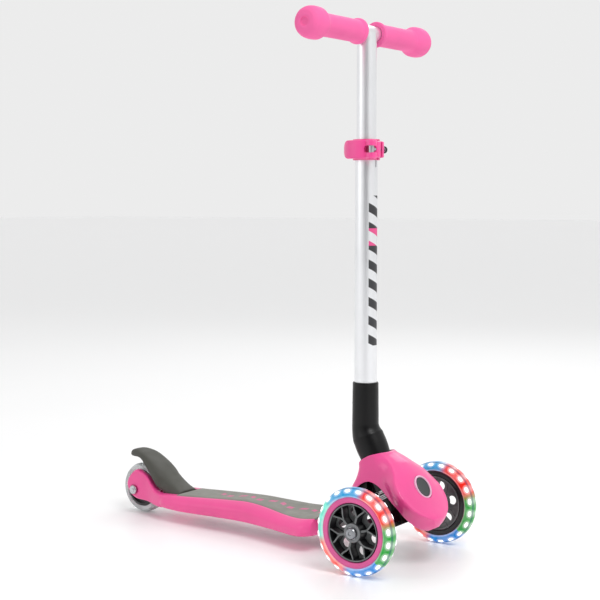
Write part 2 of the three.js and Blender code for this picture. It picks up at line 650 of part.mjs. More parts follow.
// ---- front hull ----
// Section stations up the steering axis. Each row: s, front, crease q, crease half-width,
// side-wall q and half-width, valley q and half-width, neck half-width, rear q, rear half-width.
const HULL = [
  [-34, 53, 51, 5, 46, 6, 42, 6, 5, 36, 3],
  [-29, 60, 57, 12, 48, 15, 38, 15, 12, 28, 8],
  [-24, 64, 61, 17, 50, 22, 36, 22, 18, 20, 12],
  [-19, 63.5, 60.5, 26, 50, 29, 32, 28, 22, 12, 16],
  [-12, 61.5, 58.5, 36, 48, 37.5, 28, 33, 27, 0, 22],
  [0, 59, 54.5, 47, 44, 46.5, 22, 36, 31, -40, 28],
  [18, 56.3, 49.5, 52.5, 39, 51, 18, 36, 33, -80, 34],
  [30, 54.3, 45.5, 50.5, 34, 48.5, 14, 34.5, 33, -118, 38],
  [43, 52, 42, 45, 30, 42, 11, 31.5, 32, -93, 36],
  [51, 49.8, 41, 39, 27, 36, 9, 30.5, 31.5, -74, 34],
  [58, 47.3, 38.5, 33.5, 25, 32, 8, 29.5, 30.5, -58, 26],
  [66, 43.5, 35, 28, 22, 29, 8, 28.5, 29, -47, 21],
  [75, 37, 29.5, 23, 18, 26.5, 8, 27.5, 27.5, -36, 17],
  [83, 31, 23, 20.5, 13, 26, 5, 26.5, 26, -28, 13.5],
  [88, 28, 20, 19.8, 10, 25.8, 2, 26.4, 25.2, -25.4, 12],
];
const HULL_WALL = 3;
const RIM_LIFT = 5.5;            // the top rim stands this much higher at both sides
const RIM_DROP = 0.65;           // and dips at the back by this share of the lift
const RIM_FROM_S = 66;
const RIM_HALF = 27;
const RIM_REAR = 25;

function hullSection([s, front, creaseQ, crease, wallQ, wall, valleyQ, valley, neck, rear, rearHalf]) {
  const half = [
    [front, 0], [(front * 3 + creaseQ) / 4, crease * 0.52],
    [creaseQ + (front - creaseQ) * 0.28, crease * 0.86],
    [creaseQ, crease], [wallQ, wall], [valleyQ, valley],
    [(valleyQ + rear) / 2, neck], [rear * 0.8 + valleyQ * 0.2, (neck + rearHalf) / 2],
    [rear * 0.96 + valleyQ * 0.04, rearHalf * 0.6], [rear, 0],
  ];
  const mirror = half.slice(1, -1).reverse().map(([q, y]) => [q, -y]);
  const lift = RIM_LIFT * Math.max(0, (s - RIM_FROM_S) / (HULL.at(-1)[0] - RIM_FROM_S));
  const rise = (q, y) => lift * ((y / RIM_HALF) ** 2 - RIM_DROP * (Math.min(q, 0) / RIM_REAR) ** 2);
  const control = [...half, ...mirror].map(([q, y]) => new THREE.Vector3(q, y, s + rise(q, y)));
  return new THREE.CatmullRomCurve3(control, true, "centripetal").getPoints(26).slice(0, 26);
}

function inset(points, distance) {
  return points.map((p, i) => {
    const before = points[(i + points.length - 1) % points.length];
    const after = points[(i + 1) % points.length];
    const along = after.clone().sub(before).normalize();
    return new THREE.Vector3(p.x - along.y * distance, p.y + along.x * distance, p.z);
  });
}

const ARCH = [
  [-66, 20], [-70, 60], [-66, 80], [-56, 97], [-45, 107], [-33, 111], [-20, 107], [-6, 98], [8, 87],
  [22, 78], [31, 67.5], [39, 58], [43, 20],
];

function buildHull() {
  const rows = stations(HULL, 1);
  const outer = loft(rows.map((row) => hullSection(row).map((p) => p.toArray())));
  const innerRows = rows.filter(([s]) => s > -30);
  const innerRings = innerRows.map((row) => inset(hullSection(row), HULL_WALL).map((p) => p.toArray()));
  const last = innerRings.at(-1).map(([q, y, s]) => [q, y, s + 5]);
  const inner = loft([...innerRings, last]);
  const button = inButton(rod(17.7, -16, 20, 28));
  const hull = cut(inHead(outer), inHead(inner), sidePlate(ARCH, -90, 90),
    box([-200, -90, -20], [-60, 90, DECK_FRONT_TOP]), inHead(button));
  add("front_hull", hull, material(PINK, 0.35));
}

// The button has a frame of its own in the head: its Z points out of the hull's face.
function inButton(geometry) {
  return geometry.rotateY(Math.PI / 2 - BUTTON_TILT).translate(BUTTON_Q, 0, BUTTON_S);
}

function buildButton() {
  const cup = turned([
    [14.4, 0.6], [15.4, 1.4], [16.8, 1.2], [17.4, 0], [17.4, -3], [16.4, -3], [16.4, -20], [3.6, -20],
    [3.6, -18], [14.4, -18],
  ], 18);
  add("button_bezel", inButton(cup), material(WHITE, 0.3), head);
  const cap = turned([
    [0, -BUTTON_PIN], [3, -BUTTON_PIN], [3, -6], [14, -6], [14, 0.2], [13, 1], [0, 1.6],
  ], 20);
  add("steering_lock_button", inButton(cap), material(GREY_HUB, 0.45), head);
  add("button_spring", inButton(coil(6.5, 1.2, -16.8, -7, 3)), material(STEEL, 0.35, 1), head);
}

buildDeck();
buildRearWheel();
buildBrake();
buildFrontWheel(-1, "right_front");
buildFrontWheel(1, "left_front");
buildSteering();
buildTBar();
buildClamp();
buildHull();
buildButton();

export default scooter;
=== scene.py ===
"""Looks of a child's three-wheel kick scooter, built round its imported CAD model.

Lengths in the tables are millimetres in the design frame: X forward from the front
axle, Y to the rider's left, Z up from the ground. The steering head has its own frame,
with q forward at right angles to the steering axis and s up along it.
"""
import math

import bpy
import bmesh
from mathutils import Matrix, Vector


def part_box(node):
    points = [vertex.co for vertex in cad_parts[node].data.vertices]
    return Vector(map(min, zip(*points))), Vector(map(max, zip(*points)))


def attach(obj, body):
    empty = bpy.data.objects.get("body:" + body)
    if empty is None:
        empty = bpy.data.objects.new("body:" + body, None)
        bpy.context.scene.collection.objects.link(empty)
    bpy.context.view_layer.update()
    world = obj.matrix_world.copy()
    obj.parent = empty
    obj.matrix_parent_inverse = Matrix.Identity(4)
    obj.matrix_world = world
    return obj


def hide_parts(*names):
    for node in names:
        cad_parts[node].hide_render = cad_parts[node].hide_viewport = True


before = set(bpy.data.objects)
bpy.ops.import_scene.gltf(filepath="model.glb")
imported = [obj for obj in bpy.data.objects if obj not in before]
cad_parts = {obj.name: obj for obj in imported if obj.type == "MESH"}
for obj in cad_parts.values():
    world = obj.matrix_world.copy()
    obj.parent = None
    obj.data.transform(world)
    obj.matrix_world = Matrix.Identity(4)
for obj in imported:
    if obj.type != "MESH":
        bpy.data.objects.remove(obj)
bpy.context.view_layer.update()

MM = 0.001
TAU = 2 * math.pi


# ---------------------------------------------------------------- places from the CAD
def middle(node):
    low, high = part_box(node)
    return (Vector(low) + Vector(high)) / 2


WHEEL_CENTRE = {"right": middle("right_front_tyre"), "left": middle("left_front_tyre")}
AXLE = Vector((WHEEL_CENTRE["right"].x, 0, WHEEL_CENTRE["right"].z))
REAR_AXLE = middle("rear_tyre")
TUBE_X = middle("lower_tube").x
CROSSBAR_Z = middle("right_grip").z
CLAMP_LOW, CLAMP_HIGH = (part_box("clamp_collar")[i][2] for i in (0, 1))
ELBOW_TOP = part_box("steering_elbow")[1][2]
STEER_TILT = math.radians(26.5)
CLAMP_BOLT_X = 20.9          # forward of the tube's axis
LEVER_PIN_Y = -19.5

DESIGN = Matrix.Translation((AXLE.x, 0, 0)) @ Matrix.Scale(MM, 4)
HEAD = Matrix.Translation(AXLE) @ Matrix.Rotation(-STEER_TILT, 4, "Y") @ Matrix.Scale(MM, 4)
TUBE = Matrix.Translation((TUBE_X, 0, 0)) @ Matrix.Scale(MM, 4)
LEVER_PIN = TUBE @ Matrix.Translation((CLAMP_BOLT_X, LEVER_PIN_Y, 0))
BUTTON_TURN = Matrix.Rotation(math.radians(85), 4, "Y")
BUTTON = HEAD @ Matrix.Translation((54.7, 0, 24.7)) @ BUTTON_TURN     # its Z points out of the hull


def along_y(centre, side=1):
    """Frame whose Z runs along the row's Y, outward on that side."""
    turn = Matrix.Rotation(-side * math.pi / 2, 4, "X")
    return Matrix.Translation(centre) @ turn @ Matrix.Scale(MM, 4)


# ---------------------------------------------------------------- materials
def new_material(name):
    mat = bpy.data.materials.new(name)
    mat.use_nodes = True
    nodes = mat.node_tree.nodes
    nodes.clear()
    out = nodes.new("ShaderNodeOutputMaterial")
    shader = nodes.new("ShaderNodeBsdfPrincipled")
    mat.node_tree.links.new(shader.outputs[0], out.inputs[0])
    return mat, Graph(mat.node_tree), shader


class Graph:
    """Short calls for building shader nodes."""

    def __init__(self, tree):
        self.tree = tree

    def node(self, kind, **settings):
        made = self.tree.nodes.new(kind)
        for key, value in settings.items():
            setattr(made, key, value)
        return made

    def link(self, source, target):
        self.tree.links.new(source, target)

    def put(self, socket, value):
        if hasattr(value, "is_output"):
            self.link(value, socket)
        else:
            socket.default_value = value

    def coords(self, scale=(1, 1, 1), shift=(0, 0, 0)):
        place = self.node("ShaderNodeTexCoord")
        mapping = self.node("ShaderNodeMapping")
        mapping.inputs["Scale"].default_value = scale
        mapping.inputs["Location"].default_value = shift
        self.link(place.outputs["Object"], mapping.inputs["Vector"])
        return mapping.outputs[0]

    def noise(self, scale, detail, roughness=0.5, vector=None):
        tex = self.node("ShaderNodeTexNoise")
        tex.inputs["Scale"].default_value = scale
        tex.inputs["Detail"].default_value = detail
        tex.inputs["Roughness"].default_value = roughness
        self.link(vector or self.coords(), tex.inputs["Vector"])
        return tex.outputs["Fac"]

    def cells(self, scale):
        tex = self.node("ShaderNodeTexVoronoi")
        tex.inputs["Scale"].default_value = scale
        self.link(self.coords(), tex.inputs["Vector"])
        return tex.outputs["Distance"]

    def math(self, operation, a, b=0.0, clamp=False):
        made = self.node("ShaderNodeMath", operation=operation, use_clamp=clamp)
        self.put(made.inputs[0], a)
        self.put(made.inputs[1], b)
        return made.outputs[0]

    def span(self, value, low, high, out_low=0.0, out_high=1.0):
        made = self.node("ShaderNodeMapRange")
        for socket, v in zip(made.inputs[:5], (value, low, high, out_low, out_high)):
            self.put(socket, v)
        return made.outputs[0]

    def mix(self, factor, a, b):
        made = self.node("ShaderNodeMix", data_type="RGBA")
        self.put(made.inputs[0], factor)
        self.put(made.inputs[6], rgba(a) if isinstance(a, tuple) else a)
        self.put(made.inputs[7], rgba(b) if isinstance(b, tuple) else b)
        return made.outputs[2]

    def bump(self, height, strength, distance):
        made = self.node("ShaderNodeBump")
        made.inputs["Strength"].default_value = strength
        made.inputs["Distance"].default_value = distance
        self.link(height, made.inputs["Height"])
        return made.outputs[0]

    def axes(self, vector):
        made = self.node("ShaderNodeSeparateXYZ")
        self.link(vector, made.inputs[0])
        return made.outputs

    def product(self, *factors):
        out = factors[0]
        for factor in factors[1:]:
            out = self.math("MULTIPLY", out, factor)
        return out

    def between(self, value, low, high, soft):
        """One from low to high, and zero outside, with edges that are soft wide."""
        return self.product(self.span(value, low, low + soft), self.span(value, high, high + soft, 1, 0))

    def distance(self, a, b):
        squares = self.math("ADD", self.math("MULTIPLY", a, a), self.math("MULTIPLY", b, b))
        return self.math("SQRT", squares)


def rgba(color):
    return (*color[:3], 1.0)


def srgb(r, g, b):
    def linear(v):
        v /= 255
        return v / 12.92 if v <= 0.04045 else ((v + 0.055) / 1.055) ** 2.4
    return (linear(r), linear(g), linear(b))


def shade(color, k):
    return tuple(min(1.0, c * k) for c in color)


def moulded(name, color, rough, grain=900, depth=0.00006, strength=0.25, coat=0.0, specular=0.5):
    """Moulded plastic or rubber: cloudy colour, uneven gloss, fine grain and faint scratches."""
    mat, g, shader = new_material(name)
    cloud = g.noise(14, 4)
    color_out = g.mix(g.span(cloud, 0.3, 0.7), shade(color, 0.94), shade(color, 1.06))
    g.link(color_out, shader.inputs["Base Color"])
    patchy = g.noise(60, 5, 0.6)
    g.link(g.span(patchy, 0.3, 0.7, rough - 0.06, rough + 0.07), shader.inputs["Roughness"])
    fine = g.noise(grain, 2, 0.6)
    scratch = g.noise(220, 3, 0.7, g.coords((1, 9, 1)))
    height = g.math("ADD", fine, g.math("MULTIPLY", scratch, 0.3))
    g.link(g.bump(height, strength, depth), shader.inputs["Normal"])
    shader.inputs["Specular IOR Level"].default_value = specular
    shader.inputs["Coat Weight"].default_value = coat
    shader.inputs["Coat Roughness"].default_value = 0.12
    return mat


def metal(name, color, rough, stretch):
    """Drawn or turned metal: fine lines along one direction and cloudy anodising."""
    mat, g, shader = new_material(name)
    lines = g.noise(500, 3, 0.6, g.coords(stretch))
    cloud = g.noise(18, 3)
    color_out = g.mix(g.span(cloud, 0.3, 0.7), shade(color, 0.96), shade(color, 1.03))
    g.link(color_out, shader.inputs["Base Color"])
    g.link(g.span(lines, 0.3, 0.7, rough - 0.05, rough + 0.08), shader.inputs["Roughness"])
    g.link(g.bump(lines, 0.15, 0.00004), shader.inputs["Normal"])
    shader.inputs["Metallic"].default_value = 1.0
    return mat


PINK = srgb(242, 72, 150)
GREY_PAD = srgb(140, 140, 133)
SILVER = srgb(243, 244, 246)
MATERIALS = {
    "pink": moulded("pink_plastic", PINK, 0.34, coat=0.45),
    "grip": moulded("grip_rubber", srgb(242, 104, 165), 0.62, 420, 0.00018, 0.5, specular=0.3),
    "brake": moulded("brake_nylon", srgb(70, 70, 63), 0.55, 700, 0.0001, 0.35),
    "black": moulded("black_nylon", srgb(9, 9, 10), 0.34, 800, 0.0001, 0.3, specular=0.28),
    "hub": moulded("hub_nylon", srgb(44, 44, 47), 0.36, 800, 0.00008, 0.25),
    # the hub cap's lighter grey is a painted sheen, the grey of the hub's lit faces
    "hub_cap_sheen": moulded("hub_cap_painted_sheen", srgb(120, 122, 124), 0.4, 800, 0.00008, 0.25),
    "button": moulded("button_plastic", srgb(52, 56, 58), 0.38, 900, 0.00006, 0.25),
    "bezel": moulded("bezel_plastic", srgb(232, 178, 206), 0.28, coat=0.4),
    "white": moulded("white_plastic", srgb(232, 232, 228), 0.4),
    "steel": metal("zinc_steel", srgb(196, 198, 201), 0.3, (1, 1, 1)),
    "tube": metal("anodised_tube", SILVER, 0.36, (3, 3, 0.03)),
    "bolt": metal("axle_bolt_steel", srgb(150, 152, 156), 0.28, (1, 1, 1)),
}


# ---------------------------------------------------------------- mesh helpers
def make_object(name, verts, faces, frame_matrix):
    mesh = bpy.data.meshes.new(name)
    mesh.from_pydata([frame_matrix @ Vector(v) for v in verts], [], faces)
    obj = bpy.data.objects.new(name, mesh)
    bpy.context.scene.collection.objects.link(obj)
    bm = bmesh.new()
    bm.from_mesh(mesh)
    bmesh.ops.remove_doubles(bm, verts=bm.verts, dist=1e-7)
    bmesh.ops.recalc_face_normals(bm, faces=bm.faces)
    bm.to_mesh(mesh)
    bm.free()
    return obj


def catmull(rows, steps):
    """Rows of numbers, with smooth rows put in between."""
    out = []
    for i in range(len(rows) - 1):
        p0, p1, p2, p3 = (rows[min(max(i + k, 0), len(rows) - 1)] for k in (-1, 0, 1, 2))
        for k in range(steps):
            t = k / steps
            out.append([0.5 * (2 * b + (c - a) * t + (2 * a - 5 * b + 4 * c - d) * t * t
                               + (3 * b - a - 3 * c + d) * t ** 3)
                        for a, b, c, d in zip(p0, p1, p2, p3)])
    out.append(list(rows[-1]))
    return out


def chaikin(points, rounds):
    """Cuts the corners of a closed outline."""
    for _ in range(rounds):
        cut = []
        for a, b in zip(points, points[1:] + points[:1]):
            cut.append(tuple(0.75 * p + 0.25 * q for p, q in zip(a, b)))
            cut.append(tuple(0.25 * p + 0.75 * q for p, q in zip(a, b)))
        points = cut
    return points


def fillet(points, radius, steps=3):
    """Rounds every corner of a closed outline of two-number points."""
    out = []
    n = len(points)
    for i in range(n):
        a, b, c = (Vector(points[(i + k) % n]) for k in (-1, 0, 1))
        before, after = a - b, c - b
        reach = min(radius, before.length * 0.45, after.length * 0.45)
        start = b + before.normalized() * reach
        end = b + after.normalized() * reach
        for k in range(steps + 1):
            t = k / steps
            out.append(tuple((1 - t) ** 2 * start + 2 * t * (1 - t) * b + t * t * end))
    return out


def loft(name, rings, frame_matrix):
    """A closed body through rings of points; each ring has the same number of points."""
    count = len(rings[0])
    verts = [p for ring in rings for p in ring]
    faces = []
    for i in range(len(rings) - 1):
        for k in range(count):
            a, b = i * count + k, i * count + (k + 1) % count
            faces.append((a, b, b + count, a + count))
    faces.append(tuple(range(count)))
    faces.append(tuple((len(rings) - 1) * count + k for k in range(count)))
    return make_object(name, verts, faces, frame_matrix)


def turned(name, outline, frame_matrix, segments, radius):
    """Turns a closed [r, z] outline about Z. Points on the axis stay sharp."""
    touches_axis = any(r == 0 for r, _ in outline)
    rounded = round_open(outline, radius) if touches_axis else fillet(outline, radius)
    verts = []
    faces = []
    n = len(rounded)
    spans = n - 1 if touches_axis else n
    for k in range(segments):
        a = TAU * k / segments
        verts += [(r * math.cos(a), r * math.sin(a), z) for r, z in rounded]
    for k in range(segments):
        j = (k + 1) % segments
        for i in range(spans):
            m = (i + 1) % n
            faces.append((k * n + i, j * n + i, j * n + m, k * n + m))
    return clean(make_object(name, verts, faces, frame_matrix))


def round_open(outline, radius):
    """Rounds an outline that starts and ends on the axis."""
    rounded = fillet(outline, radius)
    corner = len(rounded) // len(outline)
    return [outline[0]] + rounded[corner:-corner] + [outline[-1]]


def clean(obj):
    bm = bmesh.new()
    bm.from_mesh(obj.data)
    bmesh.ops.remove_doubles(bm, verts=bm.verts, dist=2e-6)
    bmesh.ops.dissolve_degenerate(bm, edges=bm.edges, dist=1e-7)
    bmesh.ops.recalc_face_normals(bm, faces=bm.faces)
    bm.to_mesh(obj.data)
    bm.free()
    return obj


def prism(name, outline, low, high, frame_matrix):
    rings = [[(x, y, z) for x, y in outline] for z in (low, high)]
    return loft(name, rings, frame_matrix)


def circle(radius, count):
    return [(radius * math.cos(TAU * k / count), radius * math.sin(TAU * k / count))
            for k in range(count)]


def rod(name, radius, low, high, frame_matrix, count=48):
    return prism(name, circle(radius, count), low, high, frame_matrix)


def block(name, low, high, frame_matrix):
    outline = [(low[0], low[1]), (high[0], low[1]), (high[0], high[1]), (low[0], high[1])]
    return prism(name, outline, low[2], high[2], frame_matrix)


def side_prism(name, outline, y0, y1, frame_matrix):
    """An [x, z] outline run along Y."""
    rings = [[(x, y, z) for x, z in outline] for y in (y0, y1)]
    return loft(name, rings, frame_matrix)


def apply_all(obj):
    """Turns a body's modifiers into its mesh."""
    bpy.context.view_layer.update()
    graph = bpy.context.evaluated_depsgraph_get()
    mesh = bpy.data.meshes.new_from_object(obj.evaluated_get(graph))
    old = obj.data
    obj.modifiers.clear()
    obj.data = mesh
    bpy.data.meshes.remove(old)
    mesh.name = obj.name
    return obj


def boolean(obj, tools, operation="DIFFERENCE"):
    """Cuts or joins each tool in turn, and removes it."""
    for tool in tools:
        mod = obj.modifiers.new("cut", "BOOLEAN")
        mod.operation = operation
        mod.solver = "MANIFOLD"
        mod.object = tool
        apply_all(obj)
        bpy.data.objects.remove(tool)


def remesh(obj, voxel, smooth):
    """Melts a body's joins together and eases its edges."""
    mod = obj.modifiers.new("remesh", "REMESH")
    mod.mode = "VOXEL"
    mod.voxel_size = voxel * MM
    mod.use_smooth_shade = True
    ease = obj.modifiers.new("smooth", "SMOOTH")
    ease.iterations = smooth
    ease.factor = 0.5
    return apply_all(obj)


def bevel(obj, width, segments=3):
    mod = obj.modifiers.new("bevel", "BEVEL")
    mod.width = width * MM
    mod.segments = segments
    mod.limit_method = "ANGLE"
    mod.angle_limit = math.radians(35)
    return apply_all(obj)


def finish_piece(obj, body, mat, replaces, smooth_angle):
    """Gives a piece its material, and says what it rides on and which nodes it replaces."""
    mesh = obj.data
    mesh.materials.clear()
    mesh.materials.append(MATERIALS[mat] if isinstance(mat, str) else mat)
    mesh.shade_smooth()
    mesh.set_sharp_from_angle(angle=math.radians(smooth_angle))
    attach(obj, body)
    if replaces:
        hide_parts(*replaces)


# ---------------------------------------------------------------- deck
# X, pad half-width, pad height, outer half-width, underside
DECK = [
    (-424, 30, 42, 37, 20), (-412, 33, 42.5, 41, 19.4), (-378, 32, 44, 43, 18.8),
    (-333, 30, 47, 43.5, 20), (-282, 27.5, 50, 43.5, 21), (-251, 27, 51, 44, 21),
    (-215, 31.5, 49, 48, 20.5), (-177, 40, 46, 55, 20), (-148, 48, 46, 62, 20),
    (-128, 52, 48, 65, 22), (-112, 50, 50, 61, 25),
]
# X, outer half-width, underside, top
FORK = [
    (-503, 27.2, 45, 51), (-500, 27.4, 38, 58), (-494, 27.5, 31, 65.5), (-485, 27.5, 26, 72.5),
    (-476, 27.6, 24.8, 71), (-461, 28, 24.2, 64), (-449.5, 30, 22.4, 52.5), (-438.5, 33, 20.8, 44),
    (-424, 36.7, 20.6, 41.6), (-408, 38, 22.5, 39.5),
]
FORK_INNER = 14.5
PAD_ENDS = (-393, -111)
BRAKE_PIVOT = (-405, 38)
WHEEL_ROOM = 44              # radius of the fork's opening round the rear wheel
BRAKE_HOLLOW = 44.7          # radius of the brake's hollow over the tyre
BRAKE_ROOM_HALF = 24.2       # half-width of the recess that the brake's front sits in
POCKET_HALF = 22             # half-width of the pocket in the deck's underside
AXLE_SEAT = 8.6              # radius of the flats under the rear axle's head and nut


def deck_ring(row):
    x, pad, top, half, under = row
    right = [
        (pad - 2, top), (pad + 2, top - 0.2), ((pad + half) / 2 + 1.5, top - 4.2), (half - 1, top - 9.5),
        (half, top - 14), (half - 1.2, under + 5), (half - 5, under + 1.2), (half - 12, under),
    ]
    left = [(-y, z) for y, z in reversed(right)]
    return [(x, y, z) for y, z in chaikin(right + left, 2)]


def fork_ring(row, side):
    x, half, under, top = row
    outline = [
        (FORK_INNER, under), (half - 2, under), (half, under + 2), (half, top - 2), (half - 2, top),
        (FORK_INNER, top),
    ]
    return [(x, side * y, z) for y, z in fillet(outline, min(3.5, (top - under) / 3), 4)]


def pad_rows():
    return [row for row in catmull(DECK, 8) if PAD_ENDS[0] < row[0] < PAD_ENDS[1]]


def pad_room_ring(row):
    x, half, top, _, _ = row
    edge = half - 0.8
    return [(x, y, top + z) for y, z in ((edge, -2.5), (edge, 4), (-edge, 4), (-edge, -2.5))]


def build_deck():
    shell = loft("deck_shell", [deck_ring(row) for row in catmull(DECK, 6)], DESIGN)
    arms = [loft("arm", [fork_ring(row, side) for row in catmull(FORK, 4)], DESIGN)
            for side in (1, -1)]
    boolean(shell, arms, "UNION")
    remesh(shell, 1.1, 6)
    wheel_room = rod("tool", WHEEL_ROOM, -FORK_INNER, FORK_INNER, along_y(REAR_AXLE), 96)
    pad_room = loft("tool", [pad_room_ring(row) for row in pad_rows()], DESIGN)
    pocket = block("tool", (-380, -POCKET_HALF, 10), (-100, POCKET_HALF, 34), DESIGN)
    brake_room = block("tool", (-436, -BRAKE_ROOM_HALF, 28), (BRAKE_PIVOT[0] + 12, BRAKE_ROOM_HALF, 60),
                       DESIGN)
    axle = rod("tool", 4.4, -40, 40, along_y(REAR_AXLE))
    seats = [rod("tool", AXLE_SEAT, 26.4, 40, along_y(REAR_AXLE, side)) for side in (1, -1)]
    boolean(shell, [wheel_room, pad_room, pocket, brake_room, axle] + seats)
    finish_piece(shell, "deck", "pink", ["deck_body"], 50)


def build_pad():
    rings = []
    for x, half, top, _, _ in pad_rows():
        w = half - 1.2
        outline = [(w, top - 2.1), (w, top + 0.1), (w - 0.9, top + 0.75), (w * 0.6, top + 0.8),
                   (0, top + 0.85)]
        mirrored = [(-y, z) for y, z in reversed(outline[:-1])]
        rings.append([(x, y, z) for y, z in outline + mirrored])
    pad = loft("deck_pad", rings, DESIGN)
    finish_piece(pad, "deck", pad_material(), ["deck_grip_pad"], 40)


def pad_material():
    """Grey grip pad: fine pebble, and a printed wave of plain pink dashes."""
    mat, g, shader = new_material("pad_rubber")
    x, y, _ = g.axes(g.coords(shift=(-AXLE.x, 0, 0)))
    cloud = g.noise(30, 4)
    grey = g.mix(g.span(cloud, 0.3, 0.7), shade(GREY_PAD, 0.9), shade(GREY_PAD, 1.08))
    # the print is worn, so a speckle breaks it
    wave = g.math("SINE", g.math("MULTIPLY", x, TAU / 0.058))
    off = g.math("ABSOLUTE", g.math("SUBTRACT", y, g.math("MULTIPLY", wave, 0.006)))
    band = g.span(off, 0.0045, 0.0052, 1, 0)
    dash = g.span(g.math("SINE", g.math("MULTIPLY", x, TAU / 0.0193)), -0.1, 0.0)
    inside = g.between(x, -0.335, -0.132, 0.002)
    worn = g.span(g.noise(420, 4, 0.7), 0.36, 0.46)
    ink = g.product(band, dash, inside, worn)
    g.link(g.mix(ink, grey, srgb(214, 108, 150)), shader.inputs["Base Color"])
    g.link(g.span(g.noise(80, 4), 0.3, 0.7, 0.55, 0.75), shader.inputs["Roughness"])
    g.link(g.bump(g.cells(420), 0.5, 0.0003), shader.inputs["Normal"])
    shader.inputs["Specular IOR Level"].default_value = 0.3
    return mat


# ---------------------------------------------------------------- brake
# X, top, flank's lower edge, half-width
BRAKE = [
    (-510, 97.5, 93, 9), (-506.5, 101.5, 91, 13), (-497, 103.5, 90.5, 16), (-485.5, 101.5, 91, 19.5),
    (-475, 98, 87, 22), (-463, 92, 76, 24.5), (-451, 84.5, 64, 26.5), (-440, 76.5, 51, 27),
    (-432, 70.5, 45.5, 24), (-424, 64, 40, 23.8), (-410, 54.5, 32, 23.8), (-396, 46.8, 33.5, 23.8),
]


def brake_ring(row):
    x, top, low, half = row
    depth = top - low
    right = [(half - 1, low), (half, low + 2), (half * 0.98, low + depth * 0.45),
             (half * 0.84, top - depth * 0.16), (half * 0.5, top - 0.6)]
    left = [(-y, z) for y, z in reversed(right)]
    return [(x, y, z) for y, z in chaikin(right + left, 2)]


def build_brake():
    brake = loft("brake_fender", [brake_ring(row) for row in catmull(BRAKE, 6)], DESIGN)
    remesh(brake, 1.0, 5)
    pivot = Vector((AXLE.x + BRAKE_PIVOT[0] * MM, 0, BRAKE_PIVOT[1] * MM))
    boolean(brake, [rod("tool", BRAKE_HOLLOW, -14, 14, along_y(REAR_AXLE), 96),
                    rod("tool", 2.3, -40, 40, along_y(pivot))])
    finish_piece(brake, "brake", "brake", ["rear_brake"], 50)


# ---------------------------------------------------------------- hull
# s, front, crease q, crease half-width, side-wall q and half-width, valley q and half-width,
# neck half-width, rear q, rear half-width
HULL = [
    (-34, 53, 51, 5, 46, 6, 42, 6, 5, 36, 3), (-29, 60, 57, 12, 48, 15, 38, 15, 12, 28, 8),
    (-24, 64, 61, 17, 50, 22, 36, 22, 18, 20, 12), (-19, 63.5, 60.5, 26, 50, 29, 32, 28, 22, 12, 16),
    (-12, 61.5, 58.5, 36, 48, 37.5, 28, 33, 27, 0, 22), (0, 59, 54.5, 47, 44, 46.5, 22, 36, 31, -40, 28),
    (18, 56.3, 49.5, 52.5, 39, 51, 18, 36, 33, -80, 34),
    (30, 54.3, 45.5, 50.5, 34, 48.5, 14, 34.5, 33, -118, 38),
    (43, 52, 42, 45, 30, 42, 11, 31.5, 32, -93, 36), (51, 49.8, 41, 39, 27, 36, 9, 30.5, 31.5, -74, 34),
    (58, 47.3, 38.5, 33.5, 25, 32, 8, 29.5, 30.5, -58, 26), (66, 43.5, 35, 28, 22, 29, 8, 28.5, 29, -47, 21),
    (75, 37, 29.5, 23, 18, 26.5, 8, 27.5, 27.5, -36, 17), (83, 31, 23, 20.5, 13, 26, 5, 26.5, 26, -28, 13.5),
    (88, 28, 20, 19.8, 10, 25.8, 2, 26.4, 25.2, -25.4, 12),
]
# X and Z of the opening at each side that the axle carrier swings in
ARCH = [
    (-66, 20), (-70, 60), (-66, 80), (-56, 97), (-45, 107), (-33, 111), (-20, 107), (-6, 98), (8, 87),
    (22, 78), (31, 67.5), (39, 58), (43, 20),
]
DECK_FRONT_TOP = 51.5
HULL_WALL = 3
RIM_FROM_S = 66              # the rows bend into the rim's shape from this station up
RIM_LIFT = 5.5               # the top rim stands this much higher at both sides
RIM_DROP = 0.65              # and dips at the back by this share of the lift
RIM_HALF = 27                # the rim's half-width, and its reach behind the steering axis
RIM_REAR = 25
BUTTON_ROOM = 17.7           # radius of the opening that holds the bezel


def hull_ring(row, inset=0):
    s, front, crease_q, crease, wall_q, wall, valley_q, valley, neck, rear, rear_half = row
    half = [
        (front, 0), ((front * 3 + crease_q) / 4, crease * 0.52),
        (crease_q + (front - crease_q) * 0.28, crease * 0.86), (crease_q, crease), (wall_q, wall),
        (valley_q, valley), ((valley_q + rear) / 2, neck),
        (rear * 0.8 + valley_q * 0.2, (neck + rear_half) / 2),
        (rear * 0.96 + valley_q * 0.04, rear_half * 0.6), (rear, 0),
    ]
    loop = half + [(q, -y) for q, y in reversed(half[1:-1])]
    closed = catmull([loop[-1]] + loop + [loop[0], loop[1]], 4)[4:-5]
    if inset:
        closed = inset_loop(closed, inset)
    lift = RIM_LIFT * max(0, (s - RIM_FROM_S) / (HULL[-1][0] - RIM_FROM_S))

    def rise(q, y):
        return lift * ((y / RIM_HALF) ** 2 - RIM_DROP * (min(q, 0) / RIM_REAR) ** 2)
    return [(q, y, s + rise(q, y)) for q, y in closed]


def inset_loop(points, distance):
    out = []
    n = len(points)
    for i in range(n):
        a, b = Vector(points[i - 1]), Vector(points[(i + 1) % n])
        along = (b - a).normalized()
        out.append((points[i][0] - along.y * distance, points[i][1] + along.x * distance))
    return out


